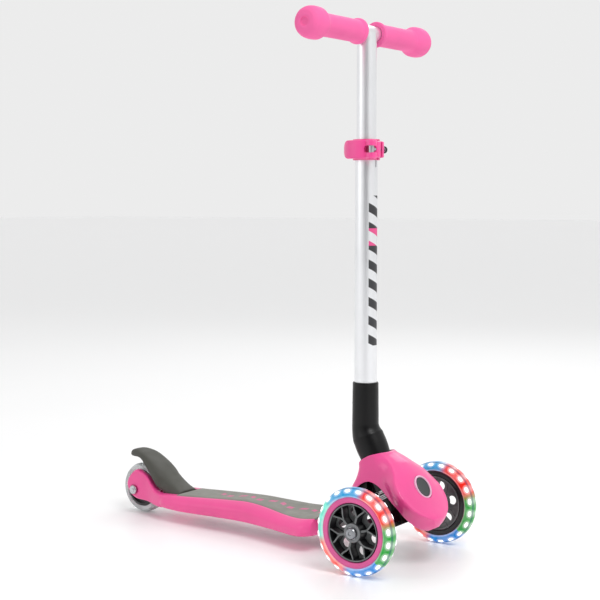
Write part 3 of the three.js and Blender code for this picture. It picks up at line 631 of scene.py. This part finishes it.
def build_hull():
    hull = loft("front_cowl", [hull_ring(row) for row in catmull(HULL, 5)], HEAD)
    inner_rows = [row for row in catmull(HULL, 4) if row[0] > -30]
    top = list(inner_rows[-1])
    top[0] += 6
    inner = loft("tool", [hull_ring(row, HULL_WALL) for row in inner_rows + [top]], HEAD)
    arch = side_prism("tool", chaikin(ARCH, 2), -90, 90, DESIGN)
    bottom = block("tool", (-200, -90, -20), (-60, 90, DECK_FRONT_TOP), DESIGN)
    boolean(hull, [inner, arch, bottom])
    remesh(hull, 0.9, 8)
    boolean(hull, [rod("tool", BUTTON_ROOM, -16, 20, BUTTON, 96)])
    finish_piece(hull, "deck", "pink", ["front_hull"], 60)


def build_button():
    bezel = turned("button_bezel_ring", [
        (14.4, 0.4), (15.4, 1.4), (16.8, 1.2), (17.4, 0), (17.4, -3), (16.4, -3), (16.4, -20), (3.6, -20),
        (3.6, -18), (14.4, -18)], BUTTON, 96, 0.5)
    finish_piece(bezel, "deck", "bezel", ["button_bezel"], 40)
    cap = turned("lock_button_cap", [
        (0, -33), (3, -33), (3, -6), (14, -6), (14, 0.2), (13, 0.9), (11, 0.5), (0, 0.1)], BUTTON, 96, 0.5)
    finish_piece(cap, "lock_button", "button", ["steering_lock_button"], 40)


# ---------------------------------------------------------------- steering
SLEEVE_R = 18.5              # the elbow where it holds the tube
BARREL_R = 21.5              # the elbow's barrel, round the steering axis
BARREL_BOTTOM_S = 74.8
ELBOW_LEG = 10               # from the bend's corner to each end of its curve
SOCKET_BORE = 16.3
LOWER_TUBE_R = 16
LOWER_TUBE_BORE = 14.3
UPPER_TUBE_R = 14
UPPER_TUBE_BORE = 12.5
UPPER_TUBE_FOOT = 440        # height of the upper tube's lower end
CROSSBAR_R = 11
CROSSBAR_BORE = 9.4
# how much fuller the barrel is than BARREL_R, at stations up the steering axis
ELBOW_SWELL = [
    (86, 0), (90, 0.15), (94, 0.5), (98, 0.9), (102, 1.2), (107, 1.4), (112, 1.3), (117, 1.1),
]


def on_steering_axis(s):
    """X and Z in the design frame of a station up the steering axis."""
    return Vector((-s * math.sin(STEER_TILT), AXLE.z / MM + s * math.cos(STEER_TILT)))


def elbow_path():
    """Centre, lean and radius of each ring, up the steering axis and round to the vertical."""
    tube_x = (TUBE_X - AXLE.x) / MM
    corner_s = -tube_x / math.sin(STEER_TILT)
    corner = on_steering_axis(corner_s)
    start, end = on_steering_axis(corner_s - ELBOW_LEG), corner + Vector((0, ELBOW_LEG))
    barrel = [(BARREL_BOTTOM_S, -0.6), (BARREL_BOTTOM_S + 1.2, 0)] + ELBOW_SWELL
    path = [(on_steering_axis(s), STEER_TILT, BARREL_R + swell) for s, swell in barrel]
    steps = 16
    for k in range(steps + 1):
        t = k / steps
        point = (1 - t) ** 2 * start + 2 * t * (1 - t) * corner + t * t * end
        path.append((point, STEER_TILT * (1 - t), SLEEVE_R + 0.6 + 3.5 * (1 - t) ** 1.6))
    top = ELBOW_TOP / MM
    for drop, radius in ((8, SLEEVE_R + 0.1), (7.6, SLEEVE_R), (0.8, SLEEVE_R), (0, SLEEVE_R - 0.8)):
        path.append((Vector((tube_x, top - drop)), 0, radius))
    return path


def build_elbow():
    rings = []
    for point, angle, radius in elbow_path():
        rings.append([(point.x + q * math.cos(angle), y, point.y + q * math.sin(angle))
                      for q, y in circle(radius, 64)])
    elbow = remesh(loft("steering_socket", rings, DESIGN), 0.9, 8)
    boolean(elbow, [rod("tool", SOCKET_BORE, 180, ELBOW_TOP / MM + 5, TUBE),
                    rod("tool", 8.5, 70, 112.5, HEAD)])
    finish_piece(elbow, "steering", "black", ["steering_elbow"], 45)


def build_tubes():
    low, high = 180.3, CLAMP_HIGH / MM - 4
    tube = turned("lower_bar_tube", [
        (LOWER_TUBE_BORE, low), (LOWER_TUBE_R, low), (LOWER_TUBE_R, high), (LOWER_TUBE_BORE, high)],
        TUBE, 96, 0.3)
    boolean(tube, [block("tool", (5, -1.6, CLAMP_LOW / MM - 10), (20, 1.6, CLAMP_HIGH / MM), TUBE)])
    finish_piece(tube, "steering", tube_material(), ["lower_tube"], 40)
    bar_z = CROSSBAR_Z / MM
    tee = rod("handlebar_weldment", UPPER_TUBE_R, UPPER_TUBE_FOOT, bar_z, TUBE, 96)
    cross = along_y((TUBE_X, 0, CROSSBAR_Z))
    boolean(tee, [rod("tool", CROSSBAR_R, -141, 141, cross, 96)], "UNION")
    boolean(tee, [rod("tool", UPPER_TUBE_BORE, UPPER_TUBE_FOOT - 10, bar_z, TUBE, 64),
                  rod("tool", CROSSBAR_BORE, -150, 150, cross, 64)])
    finish_piece(tee, "handlebar", "tube", ["handlebar_tee"], 30)


def tube_material():
    """Anodised tube with a plain printed column of slanted dark bars, one of them pink."""
    mat, g, shader = new_material("printed_tube")
    x, y, z = g.axes(g.coords(shift=(-TUBE_X, 0, 0)))
    lines = g.noise(500, 3, 0.6, g.coords((3, 3, 0.03)))
    cloud = g.mix(g.span(g.noise(18, 3), 0.3, 0.7), shade(SILVER, 0.96), shade(SILVER, 1.03))
    angle = g.math("ARCTAN2", y, x)
    side = g.math("ABSOLUTE", g.math("ADD", angle, 0.2))
    slant = g.math("ADD", z, g.math("MULTIPLY", angle, 0.008))
    phase = g.math("FRACT", g.math("DIVIDE", slant, 0.0265))
    bar = g.between(phase, 0.22, 0.70, 0.03)
    column = g.span(side, 0.55, 0.58, 1, 0)
    ink = g.product(bar, column, g.between(z, 0.300, 0.512, 0.0005))
    pink_part = g.between(z, 0.4415, 0.466, 0.0005)
    print_color = g.mix(pink_part, srgb(52, 52, 55), srgb(226, 80, 140))
    g.link(g.mix(ink, cloud, print_color), shader.inputs["Base Color"])
    g.link(g.math("SUBTRACT", 1.0, ink), shader.inputs["Metallic"])
    g.link(g.span(lines, 0.3, 0.7, 0.31, 0.44), shader.inputs["Roughness"])
    g.link(g.bump(lines, 0.15, 0.00004), shader.inputs["Normal"])
    return mat


def build_grips():
    for name, side in (("right_grip", -1), ("left_grip", 1)):
        grip = turned(f"{name}_sleeve", [
            (11.3, 21), (16.9, 21), (18, 22), (18, 26), (16, 28.5), (15.7, 32), (15.7, 106), (16.6, 112),
            (19.5, 117), (21.7, 122), (22, 128), (22, 134), (21.2, 140), (19, 145.5), (15, 149), (10, 150),
            (6.5, 149.8), (5.6, 147.6), (0, 147.2), (0, 141.5), (11.3, 141.5)],
            along_y((TUBE_X, 0, CROSSBAR_Z), side), 96, 1.2)
        finish_piece(grip, "handlebar", "grip", [name], 50)


# ---------------------------------------------------------------- clamp
COLLAR_R = 19.2
COLLAR_BORE = 16.3
EARS = [(12, -11.5), (25.2, -11.5), (25.2, 9.5), (12, 9.5)]
BOLT_HOLE = 2.8
SLIT_HALF = 2.2              # half the gap between the ears


def build_clamp():
    low, high = CLAMP_LOW / MM, CLAMP_HIGH / MM
    mid = (low + high) / 2
    collar = rod("clamp_band", COLLAR_R, low, high, TUBE, 96)
    ears = prism("tool", fillet(EARS, 5, 8), low + 3, high - 3, TUBE)
    boolean(collar, [bevel(ears, 2, 4)], "UNION")
    across = along_y((TUBE_X + CLAMP_BOLT_X * MM, 0, mid * MM))
    boolean(collar, [rod("tool", COLLAR_BORE, low - 1, high + 1, TUBE, 96),
                     block("tool", (5, -SLIT_HALF, low - 1), (30, SLIT_HALF, high + 1), TUBE),
                     rod("tool", BOLT_HOLE, -20, 20, across)])
    bevel(collar, 1.2)
    finish_piece(collar, "steering", "pink", ["clamp_collar"], 40)
    bolt_start = LEVER_PIN_Y + 4.2
    bolt = turned("clamp_through_bolt", [(0, bolt_start), (2.5, bolt_start), (2.5, 15), (0, 15)],
                  across, 48, 0.4)
    finish_piece(bolt, "steering", "steel", ["clamp_bolt"], 40)
    washer = turned("clamp_side_washer", [
        (BOLT_HOLE, 9.8), (4.2, 9.8), (4.2, 10.8), (BOLT_HOLE, 10.8)], across, 64, 0.4)
    finish_piece(washer, "steering", "steel", ["clamp_washer"], 40)
    crests, roots = circle(5.1, 72), circle(4.9, 72)
    knurl = [roots[k] if k % 2 else crests[k] for k in range(72)]
    nut = prism("clamp_thumb_nut", knurl, 11.1, 14.4, across)
    boolean(nut, [rod("tool", BOLT_HOLE, 5, 25, across)])
    finish_piece(nut, "steering", "black", ["clamp_nut"], 30)
    pin = turned("clamp_barrel", [(0, low + 3), (3.9, low + 3), (3.9, high - 3), (0, high - 3)],
                 LEVER_PIN, 48, 0.5)
    finish_piece(pin, "steering", "steel", ["clamp_pivot_pin"], 40)
    build_lever(low + 1.5, high - 1.5)


def build_lever(low, high):
    """A curved strip round the collar, with a round tip, and an eye for the barrel."""
    steps = 40
    tip_round = 12
    strip_length = 48
    start, sweep = -45, -104             # degrees round the tube
    rings = []
    for k in range(steps + 1):
        t = k / steps
        a = math.radians(start + sweep * t)
        r = 21.2 + 6.3 * t * t
        thick = 5.6 - 1.2 * t
        from_tip = (1 - t) * strip_length + 0.6
        short = tip_round - math.sqrt(max(0, tip_round ** 2 - max(0, tip_round - from_tip) ** 2))
        bottom, top = low + short, high - short
        section = fillet([(0, bottom), (thick, bottom), (thick, top), (0, top)], 2, 5)
        rings.append([((r + out) * math.cos(a), (r + out) * math.sin(a), up) for out, up in section])
    lever = loft("clamp_cam_lever", rings, TUBE)
    eye = turned("tool", [
        (0, low), (6.4, low), (7.4, low + 1), (7.4, high - 1), (6.4, high), (0, high)], LEVER_PIN, 64, 0.5)
    boolean(lever, [eye], "UNION")
    remesh(lever, 0.5, 6)
    mid = (low + high) / 2
    back, front = CLAMP_BOLT_X - 9.5, CLAMP_BOLT_X + 9
    window = fillet([(back, mid - 5), (front, mid - 5), (front, mid + 5), (back, mid + 5)], 4.5, 6)
    boolean(lever, [rod("tool", 4.2, low - 5, high + 5, LEVER_PIN),
                    side_prism("tool", window, LEVER_PIN_Y - 9, LEVER_PIN_Y + 9, TUBE)])
    finish_piece(lever, "clamp_lever", "pink", ["clamp_lever"], 50)


# ---------------------------------------------------------------- front wheels
LED_COUNT = 20               # lit windows round each shoulder of the tyre
LED_RADIUS = 57.05           # of the windows' centres round the axle
LED_STEP = 9.35              # how far they sit from the tyre's mid-plane
LED_LEAN = math.radians(47)  # how far a window's face turns from the tread to the side
SECTOR_START = math.radians(-43)     # where the first colour begins round the axle
SECTOR_COLORS = [srgb(0, 148, 38), srgb(222, 34, 20), srgb(0, 142, 196), srgb(104, 206, 186),
                 srgb(232, 84, 74), srgb(0, 126, 204)]
WHEEL_HALF = 12              # half the width of a front wheel
TYRE_OUTLINE = [
    (48.4, 11), (50.5, 12), (54.2, 11.4), (57.4, 9), (59.6, 5.2), (60.4, 1.8), (60.4, -1.8), (59.6, -5.2),
    (57.4, -9), (54.2, -11.4), (50.5, -12), (48.4, -11),
]


def sector_color(g, angle):
    """Colour of the wheel's light at an angle round its axle."""
    turn = g.math("DIVIDE", g.math("SUBTRACT", angle, SECTOR_START), TAU)
    turn = g.math("FRACT", g.math("ADD", turn, 2.0))
    ramp = g.node("ShaderNodeValToRGB")
    stops = ramp.color_ramp.elements
    stops.remove(stops[-1])
    edge = 0.016
    count = len(SECTOR_COLORS)
    stops[0].position = 0
    stops[0].color = rgba(SECTOR_COLORS[0])
    for i, color in enumerate(SECTOR_COLORS):
        for at in (i / count + edge, (i + 1) / count - edge):
            stops.new(at).color = rgba(color)
    g.link(turn, ramp.inputs[0])
    return ramp.outputs[0]


def tyre_material(side, centre):
    """Clear urethane lit from its core: pale near the core, deep at the tread, thin dark edge line."""
    mat, g, shader = new_material(f"{side}_clear_tyre")
    x, _, z = g.axes(g.coords(shift=(-centre.x, 0, -centre.z)))
    angle = g.math("ARCTAN2", z, x)
    radius = g.distance(x, z)
    inner = g.span(radius, 0.0485, 0.0515, 0.30, 0.0)
    smoke = g.span(g.noise(70, 3), 0.35, 0.65, 0.0, 0.14)
    # a glow round each lit window
    phase = g.math("FRACT", g.math("ADD", g.math("MULTIPLY", angle, LED_COUNT / TAU), LED_COUNT))
    sideways = g.math("MULTIPLY", g.math("SUBTRACT", phase, 0.5), 0.011)
    inward = g.math("SUBTRACT", radius, LED_RADIUS * MM)
    glow = g.span(g.distance(sideways, inward), 0.0012, 0.0048, 0.6, 0.0)
    pale = g.math("ADD", g.math("ADD", inner, smoke), glow, clamp=True)
    tint = g.mix(pale, sector_color(g, angle), (1.0, 1.0, 1.0))
    edge = g.product(g.span(radius, 0.0586, 0.0592), g.span(radius, 0.0598, 0.0603, 1, 0))
    tint = g.mix(g.math("MULTIPLY", edge, 0.55), tint, srgb(10, 50, 90))
    g.link(tint, shader.inputs["Base Color"])
    g.link(tint, shader.inputs["Emission Color"])
    g.link(g.span(g.noise(120, 2), 0.3, 0.7, 0.26, 0.4), shader.inputs["Emission Strength"])
    g.link(g.span(g.noise(90, 4), 0.3, 0.7, 0.07, 0.16), shader.inputs["Roughness"])
    g.link(g.bump(g.noise(300, 3), 0.08, 0.0001), shader.inputs["Normal"])
    shader.inputs["Transmission Weight"].default_value = 0.12
    shader.inputs["IOR"].default_value = 1.45
    shader.inputs["Specular IOR Level"].default_value = 0.3
    shader.inputs["Coat Weight"].default_value = 0.12
    return mat


def led_material():
    """White window, lit from behind."""
    mat, g, shader = new_material("led_window")
    shader.inputs["Base Color"].default_value = (1, 1, 1, 1)
    shader.inputs["Emission Color"].default_value = (0.93, 0.97, 1, 1)
    g.link(g.span(g.noise(400, 2), 0.3, 0.7, 1.1, 1.5), shader.inputs["Emission Strength"])
    g.link(g.span(g.noise(200, 2), 0.3, 0.7, 0.15, 0.25), shader.inputs["Roughness"])
    return mat


def hub_material():
    """Dark nylon with a painted sheen: faces turned along the axle are painted a lighter grey, as if
    catching the light.
    """
    mat, g, shader = new_material("hub_nylon")
    place = g.node("ShaderNodeTexCoord")
    # painted sheen: the lighter grey goes on faces turned along the axle, the dark nylon on the rest
    facing = g.math("ABSOLUTE", g.axes(place.outputs["Normal"])[1])
    cloud = g.noise(60, 4)
    face = g.mix(g.span(cloud, 0.3, 0.7), srgb(84, 87, 88), srgb(118, 121, 121))
    side = g.mix(g.span(cloud, 0.3, 0.7), srgb(20, 20, 22), srgb(34, 34, 37))
    g.link(g.mix(g.span(facing, 0.55, 0.85), side, face), shader.inputs["Base Color"])
    g.link(g.span(g.noise(80, 4), 0.3, 0.7, 0.3, 0.45), shader.inputs["Roughness"])
    g.link(g.bump(g.noise(800, 2), 0.25, 0.00008), shader.inputs["Normal"])
    return mat


def ring_material(side, sign):
    """Pink core ring, whose inward-facing faces are painted near-black as painted shade between the wheel
    and the hull.
    """
    mat, g, shader = new_material(f"{side}_core_ring")
    place = g.node("ShaderNodeTexCoord")
    outward = g.math("MULTIPLY", g.axes(place.outputs["Normal"])[1], sign)
    cloud = g.span(g.noise(30, 4), 0.3, 0.7)
    pink = g.mix(cloud, srgb(216, 78, 146), srgb(230, 92, 158))
    # painted shade: the near-black goes on faces turned inward, toward the hull
    dark = g.mix(cloud, srgb(22, 22, 24), srgb(34, 34, 37))
    g.link(g.mix(g.span(outward, -0.45, -0.3), dark, pink), shader.inputs["Base Color"])
    g.link(g.span(g.noise(80, 4), 0.3, 0.7, 0.27, 0.4), shader.inputs["Roughness"])
    g.link(g.bump(g.noise(800, 2), 0.25, 0.00006), shader.inputs["Normal"])
    shader.inputs["Coat Weight"].default_value = 0.2
    return mat


MATERIALS["led"] = led_material()
# the hub's faces carry a painted sheen
MATERIALS["hub_painted_sheen"] = hub_material()


def build_front_wheel(side, sign):
    centre = WHEEL_CENTRE[side]
    local = along_y(centre, sign)
    prefix = f"{side}_front"
    body = f"{prefix}_wheel"
    half = WHEEL_HALF
    tyre = turned(f"{prefix}_clear_tyre", TYRE_OUTLINE, local, 128, 1.5)
    finish_piece(tyre, body, tyre_material(side, centre), [f"{prefix}_tyre"], 40)
    half_core = [
        (40.3, half - 3), (41.4, half - 1), (45.5, half - 0.8), (48.1, half - 1.2), (48.1, 6.3), (45.5, 6.3),
    ]
    other_half = [(r, -z) for r, z in reversed(half_core)]
    core = turned(f"{prefix}_pink_core", half_core + other_half, local, 96, 0.6)
    finish_piece(core, body, ring_material(side, sign), [f"{prefix}_core_ring"], 40)
    build_leds(prefix, body, local)
    build_hub(prefix, body, local)
    bolt = turned(f"{prefix}_axle_screw", [
        (0, -52), (3.7, -52), (3.7, half + 0.3), (8, half + 0.3), (8, half + 2), (6.6, half + 4.4),
        (2.6, half + 5), (2.4, half + 3.6), (0, half + 3.6)], local, 64, 0.5)
    finish_piece(bolt, "steering", "bolt", [f"{prefix}_axle_bolt"], 40)


def build_leds(prefix, body, local):
    """Small lit windows round both shoulders of the tyre, in one mesh."""
    bm = bmesh.new()
    outline = chaikin([(-3.9, -1.9), (3.9, -1.9), (3.9, 1.9), (-3.9, 1.9)], 3)
    for sign in (1, -1):
        for i in range(LED_COUNT):
            a = TAU * (i + 0.5) / LED_COUNT
            outward = Vector((math.cos(a), math.sin(a), 0))
            along = Vector((-math.sin(a), math.cos(a), 0))
            axle = Vector((0, 0, sign))
            normal = outward * math.cos(LED_LEAN) + axle * math.sin(LED_LEAN)
            across = outward * -math.sin(LED_LEAN) + axle * math.cos(LED_LEAN)
            centre = outward * LED_RADIUS + axle * LED_STEP
            rings = []
            for sink, grow in ((-1.0, 1), (0.1, 1), (0.35, 0.75)):
                loop = []
                for u, v in outline:
                    sag = (u * grow) ** 2 / (2 * LED_RADIUS)
                    point = centre + (along * u + across * v) * grow + normal * sink - outward * sag
                    loop.append(bm.verts.new(local @ point))
                rings.append(loop)
            n = len(outline)
            for low, high in zip(rings, rings[1:]):
                for k in range(n):
                    bm.faces.new((low[k], low[(k + 1) % n], high[(k + 1) % n], high[k]))
            bm.faces.new(rings[-1])
            bm.faces.new(rings[0][::-1])
    bmesh.ops.recalc_face_normals(bm, faces=bm.faces)
    mesh = bpy.data.meshes.new(f"{prefix}_led_windows")
    bm.to_mesh(mesh)
    bm.free()
    obj = bpy.data.objects.new(f"{prefix}_led_windows", mesh)
    bpy.context.scene.collection.objects.link(obj)
    finish_piece(obj, body, "led", (), 40)


STEMS = 6
# radius, and angle from the stem
STEM_PATH = [(12, 0), (17, 0), (22, 0)]
ARM_PATH = [(20.5, 0), (25, 0.07), (30, 0.17), (34, 0.235), (38.4, 0.262)]


def build_hub(prefix, body, local):
    """Spoked hub: rim, boss and six stems that fork into two arms each."""
    half = WHEEL_HALF
    rim = turned(f"{prefix}_spoked_hub", [
        (37.2, 1.5 - half), (40, 1.5 - half), (40, half - 3), (39, half - 1.6), (37.2, half - 2.4)],
        local, 96, 0.5)
    boss = turned("tool", [
        (8.5, 0.5 - half), (13.5, 0.5 - half), (13.5, half - 2), (12, half - 0.5), (8.5, half - 0.5)],
        local, 64, 0.5)
    parts = [boss]
    for i in range(STEMS):
        parts.append(spoke(i, STEM_PATH, 1.5, 9.2, local))
        for lean in (-1, 1):
            arm = [(radius, lean * angle) for radius, angle in ARM_PATH]
            parts.append(spoke(i, arm, 1.05, 8.6, local))
    web = rod("tool", 38, -7, -5, local, 96)
    holes = []
    for i in range(STEMS):
        turn = Matrix.Rotation(TAU * (i + 0.75) / STEMS, 4, "Z")
        holes.append(rod("tool", 6.5, -9, -3, local @ turn @ Matrix.Translation((27, 0, 0))))
    boolean(web, holes + [rod("tool", 9, -9, -3, local)])
    boolean(rim, parts + [web], "UNION")
    bevel(rim, 0.45, 2)
    finish_piece(rim, body, "hub_painted_sheen", [f"{prefix}_hub"], 35)
    # the cap ring is painted the lighter grey of a lit face
    cap = turned(f"{prefix}_hub_cap", [
        (8.8, half - 3), (12.8, half - 3), (12.8, half - 0.4), (11.6, half + 0.3), (8.8, half + 0.1)],
        local, 64, 0.4)
    finish_piece(cap, body, "hub_cap_sheen", (), 40)


def spoke(index, path, width, face, local):
    """One bar of the hub, along a path of (radius, angle from its stem)."""
    base = TAU * (index + 0.25) / STEMS
    centre = [Vector((r * math.cos(base + a), r * math.sin(base + a))) for r, a in catmull(path, 4)]
    left, right = [], []
    for i, p in enumerate(centre):
        before, after = centre[max(i - 1, 0)], centre[min(i + 1, len(centre) - 1)]
        d = (after - before).normalized()
        left.append((p.x - d.y * width, p.y + d.x * width))
        right.append((p.x + d.y * width, p.y - d.x * width))
    return prism("tool", left + right[::-1], -8, face, local)


# ---------------------------------------------------------------- rear wheel
def build_rear_wheel():
    local = along_y(REAR_AXLE)
    half = 11
    tyre = turned("rear_clear_tyre", [
        (29.8, 1 - half), (32, -half), (35.5, -half), (38.4, 3 - half), (39.7, 6 - half), (40, 0),
        (39.7, half - 6), (38.4, half - 3), (35.5, half), (32, half), (29.8, half - 1)], local, 96, 1.5)
    finish_piece(tyre, "rear_wheel", rear_tyre_material(), ["rear_tyre"], 40)
    hub = turned("rear_wheel_hub", [
        (8, -3), (11.2, -3), (11.2, -half), (14, -half), (14, -5), (26, -5), (26, 1 - half),
        (29.5, 1 - half), (29.5, half - 1), (26, half - 1), (26, 5), (14, 5), (14, half), (11.2, half),
        (11.2, 3), (8, 3)], local, 96, 0.5)
    finish_piece(hub, "rear_wheel", "hub", ["rear_hub"], 40)
    bolt = turned("rear_axle_screw", [
        (0, -32.6), (2.4, -32.6), (2.6, -31.4), (5.5, -32.4), (7, -31), (7, -27.9), (3.7, -27.9), (3.7, 33),
        (0, 33)], local, 64, 0.4)
    finish_piece(bolt, "deck", "steel", ["rear_axle_bolt"], 40)
    nut = prism("rear_lock_nut", circle(7.5, 6), 27.9, 33.6, local)
    boolean(nut, [rod("tool", 4.5, 20, 40, local)])
    bevel(nut, 0.5, 2)
    finish_piece(nut, "deck", "steel", ["rear_axle_nut"], 30)


def rear_tyre_material():
    """Milky urethane, part clear and unlit."""
    mat, g, shader = new_material("rear_clear_tyre")
    milky = srgb(228, 232, 233)
    cloud = g.span(g.noise(25, 3), 0.3, 0.7)
    g.link(g.mix(cloud, shade(milky, 0.95), shade(milky, 1.03)), shader.inputs["Base Color"])
    g.link(g.span(g.noise(90, 4), 0.3, 0.7, 0.1, 0.22), shader.inputs["Roughness"])
    g.link(g.bump(g.noise(300, 3), 0.1, 0.0001), shader.inputs["Normal"])
    shader.inputs["Transmission Weight"].default_value = 0.5
    shader.inputs["IOR"].default_value = 1.45
    return mat


# ---------------------------------------------------------------- CAD nodes that stay
BLACK_NODES = ("steering_head", "axle_carrier")
WHITE_ENDINGS = ("steering_bush", "light_ring")


def dress_cad_nodes():
    """Looks for the CAD's own nodes, which are steel unless they are named above."""
    for name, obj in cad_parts.items():
        mat = "steel"
        if name in BLACK_NODES:
            mat = "black"
        elif name.endswith(WHITE_ENDINGS):
            mat = "white"
        obj.data.materials.clear()
        obj.data.materials.append(MATERIALS[mat])


# ---------------------------------------------------------------- stage
WALL_AT = math.radians(-58)  # direction of the room's grey wall
WORLD_STRENGTH = 0.84
FLOOR_GLOW = 0.06


def studio_world():
    """White room with one soft grey wall, which gives the bright tubes their darker band."""
    world = bpy.data.worlds.new("studio")
    world.use_nodes = True
    g = Graph(world.node_tree)
    place = g.node("ShaderNodeTexCoord")
    x, y, _ = g.axes(place.outputs["Generated"])
    off = g.math("ABSOLUTE", g.math("SUBTRACT", g.math("ARCTAN2", y, x), WALL_AT))
    wall = g.span(off, math.radians(18), math.radians(32), 1, 0)
    background = world.node_tree.nodes["Background"]
    g.link(g.mix(wall, (1.0, 1.0, 1.0), (0.25, 0.25, 0.26)), background.inputs[0])
    background.inputs[1].default_value = WORLD_STRENGTH
    return world


FLOOR_HALF = 40
# name, place, size and power of each soft lamp
LAMPS = [
    ("key", (1.5, -0.6, 2.4), 1.2, 30), ("fill", (-1.6, -2.2, 1.3), 1.2, 5),
    ("rim", (-0.6, 2.2, 2.0), 1.6, 12),
]


def build_floor():
    """Pale floor; a trace of its own light brings it to the wall's tone where they meet."""
    corners = [(x * FLOOR_HALF, y * FLOOR_HALF, 0) for x, y in ((-1, -1), (1, -1), (1, 1), (-1, 1))]
    floor = make_object("studio_floor", corners, [(0, 1, 2, 3)], Matrix.Identity(4))
    mat, g, shader = new_material("studio_floor")
    g.link(g.mix(g.noise(3, 2), (0.93, 0.93, 0.935), (0.96, 0.96, 0.96)), shader.inputs["Base Color"])
    g.link(g.span(g.noise(40, 2), 0.3, 0.7, 0.3, 0.4), shader.inputs["Roughness"])
    shader.inputs["Specular IOR Level"].default_value = 0.3
    shader.inputs["Emission Color"].default_value = (1.0, 1.0, 1.0, 1.0)
    shader.inputs["Emission Strength"].default_value = FLOOR_GLOW
    floor.data.materials.append(mat)


def build_stage():
    build_floor()
    bpy.context.scene.world = studio_world()
    bpy.context.scene.view_settings.view_transform = "Standard"
    for name, place, size, power in LAMPS:
        lamp = bpy.data.lights.new(name, "AREA")
        lamp.size = size
        lamp.energy = power
        obj = bpy.data.objects.new(name, lamp)
        obj.location = place
        aim = Vector((0, 0, 0.3)) - Vector(place)
        obj.rotation_euler = aim.to_track_quat("-Z", "Y").to_euler()
        bpy.context.scene.collection.objects.link(obj)


# metres from the ground under the front axle, and how the camera is turned
CAMERA_PLACE = (0.9562, -1.5469, 0.4981)
CAMERA_TILT = math.radians(85.85)
CAMERA_HEADING = math.radians(36.17)
CAMERA_LENS = 78.08


def build_camera():
    camera = bpy.data.cameras.new("camera")
    camera.lens = CAMERA_LENS
    camera.sensor_width = 36
    obj = bpy.data.objects.new("camera", camera)
    obj.location = Vector((AXLE.x, 0, 0)) + Vector(CAMERA_PLACE)
    obj.rotation_euler = (CAMERA_TILT, 0, CAMERA_HEADING)
    bpy.context.scene.collection.objects.link(obj)
    bpy.context.scene.camera = obj


build_camera()
build_stage()
dress_cad_nodes()
build_deck()
build_pad()
build_brake()
build_hull()
build_button()
build_elbow()
build_tubes()
build_grips()
build_clamp()
for wheel_side, wheel_sign in (("right", -1), ("left", 1)):
    build_front_wheel(wheel_side, wheel_sign)
build_rear_wheel()
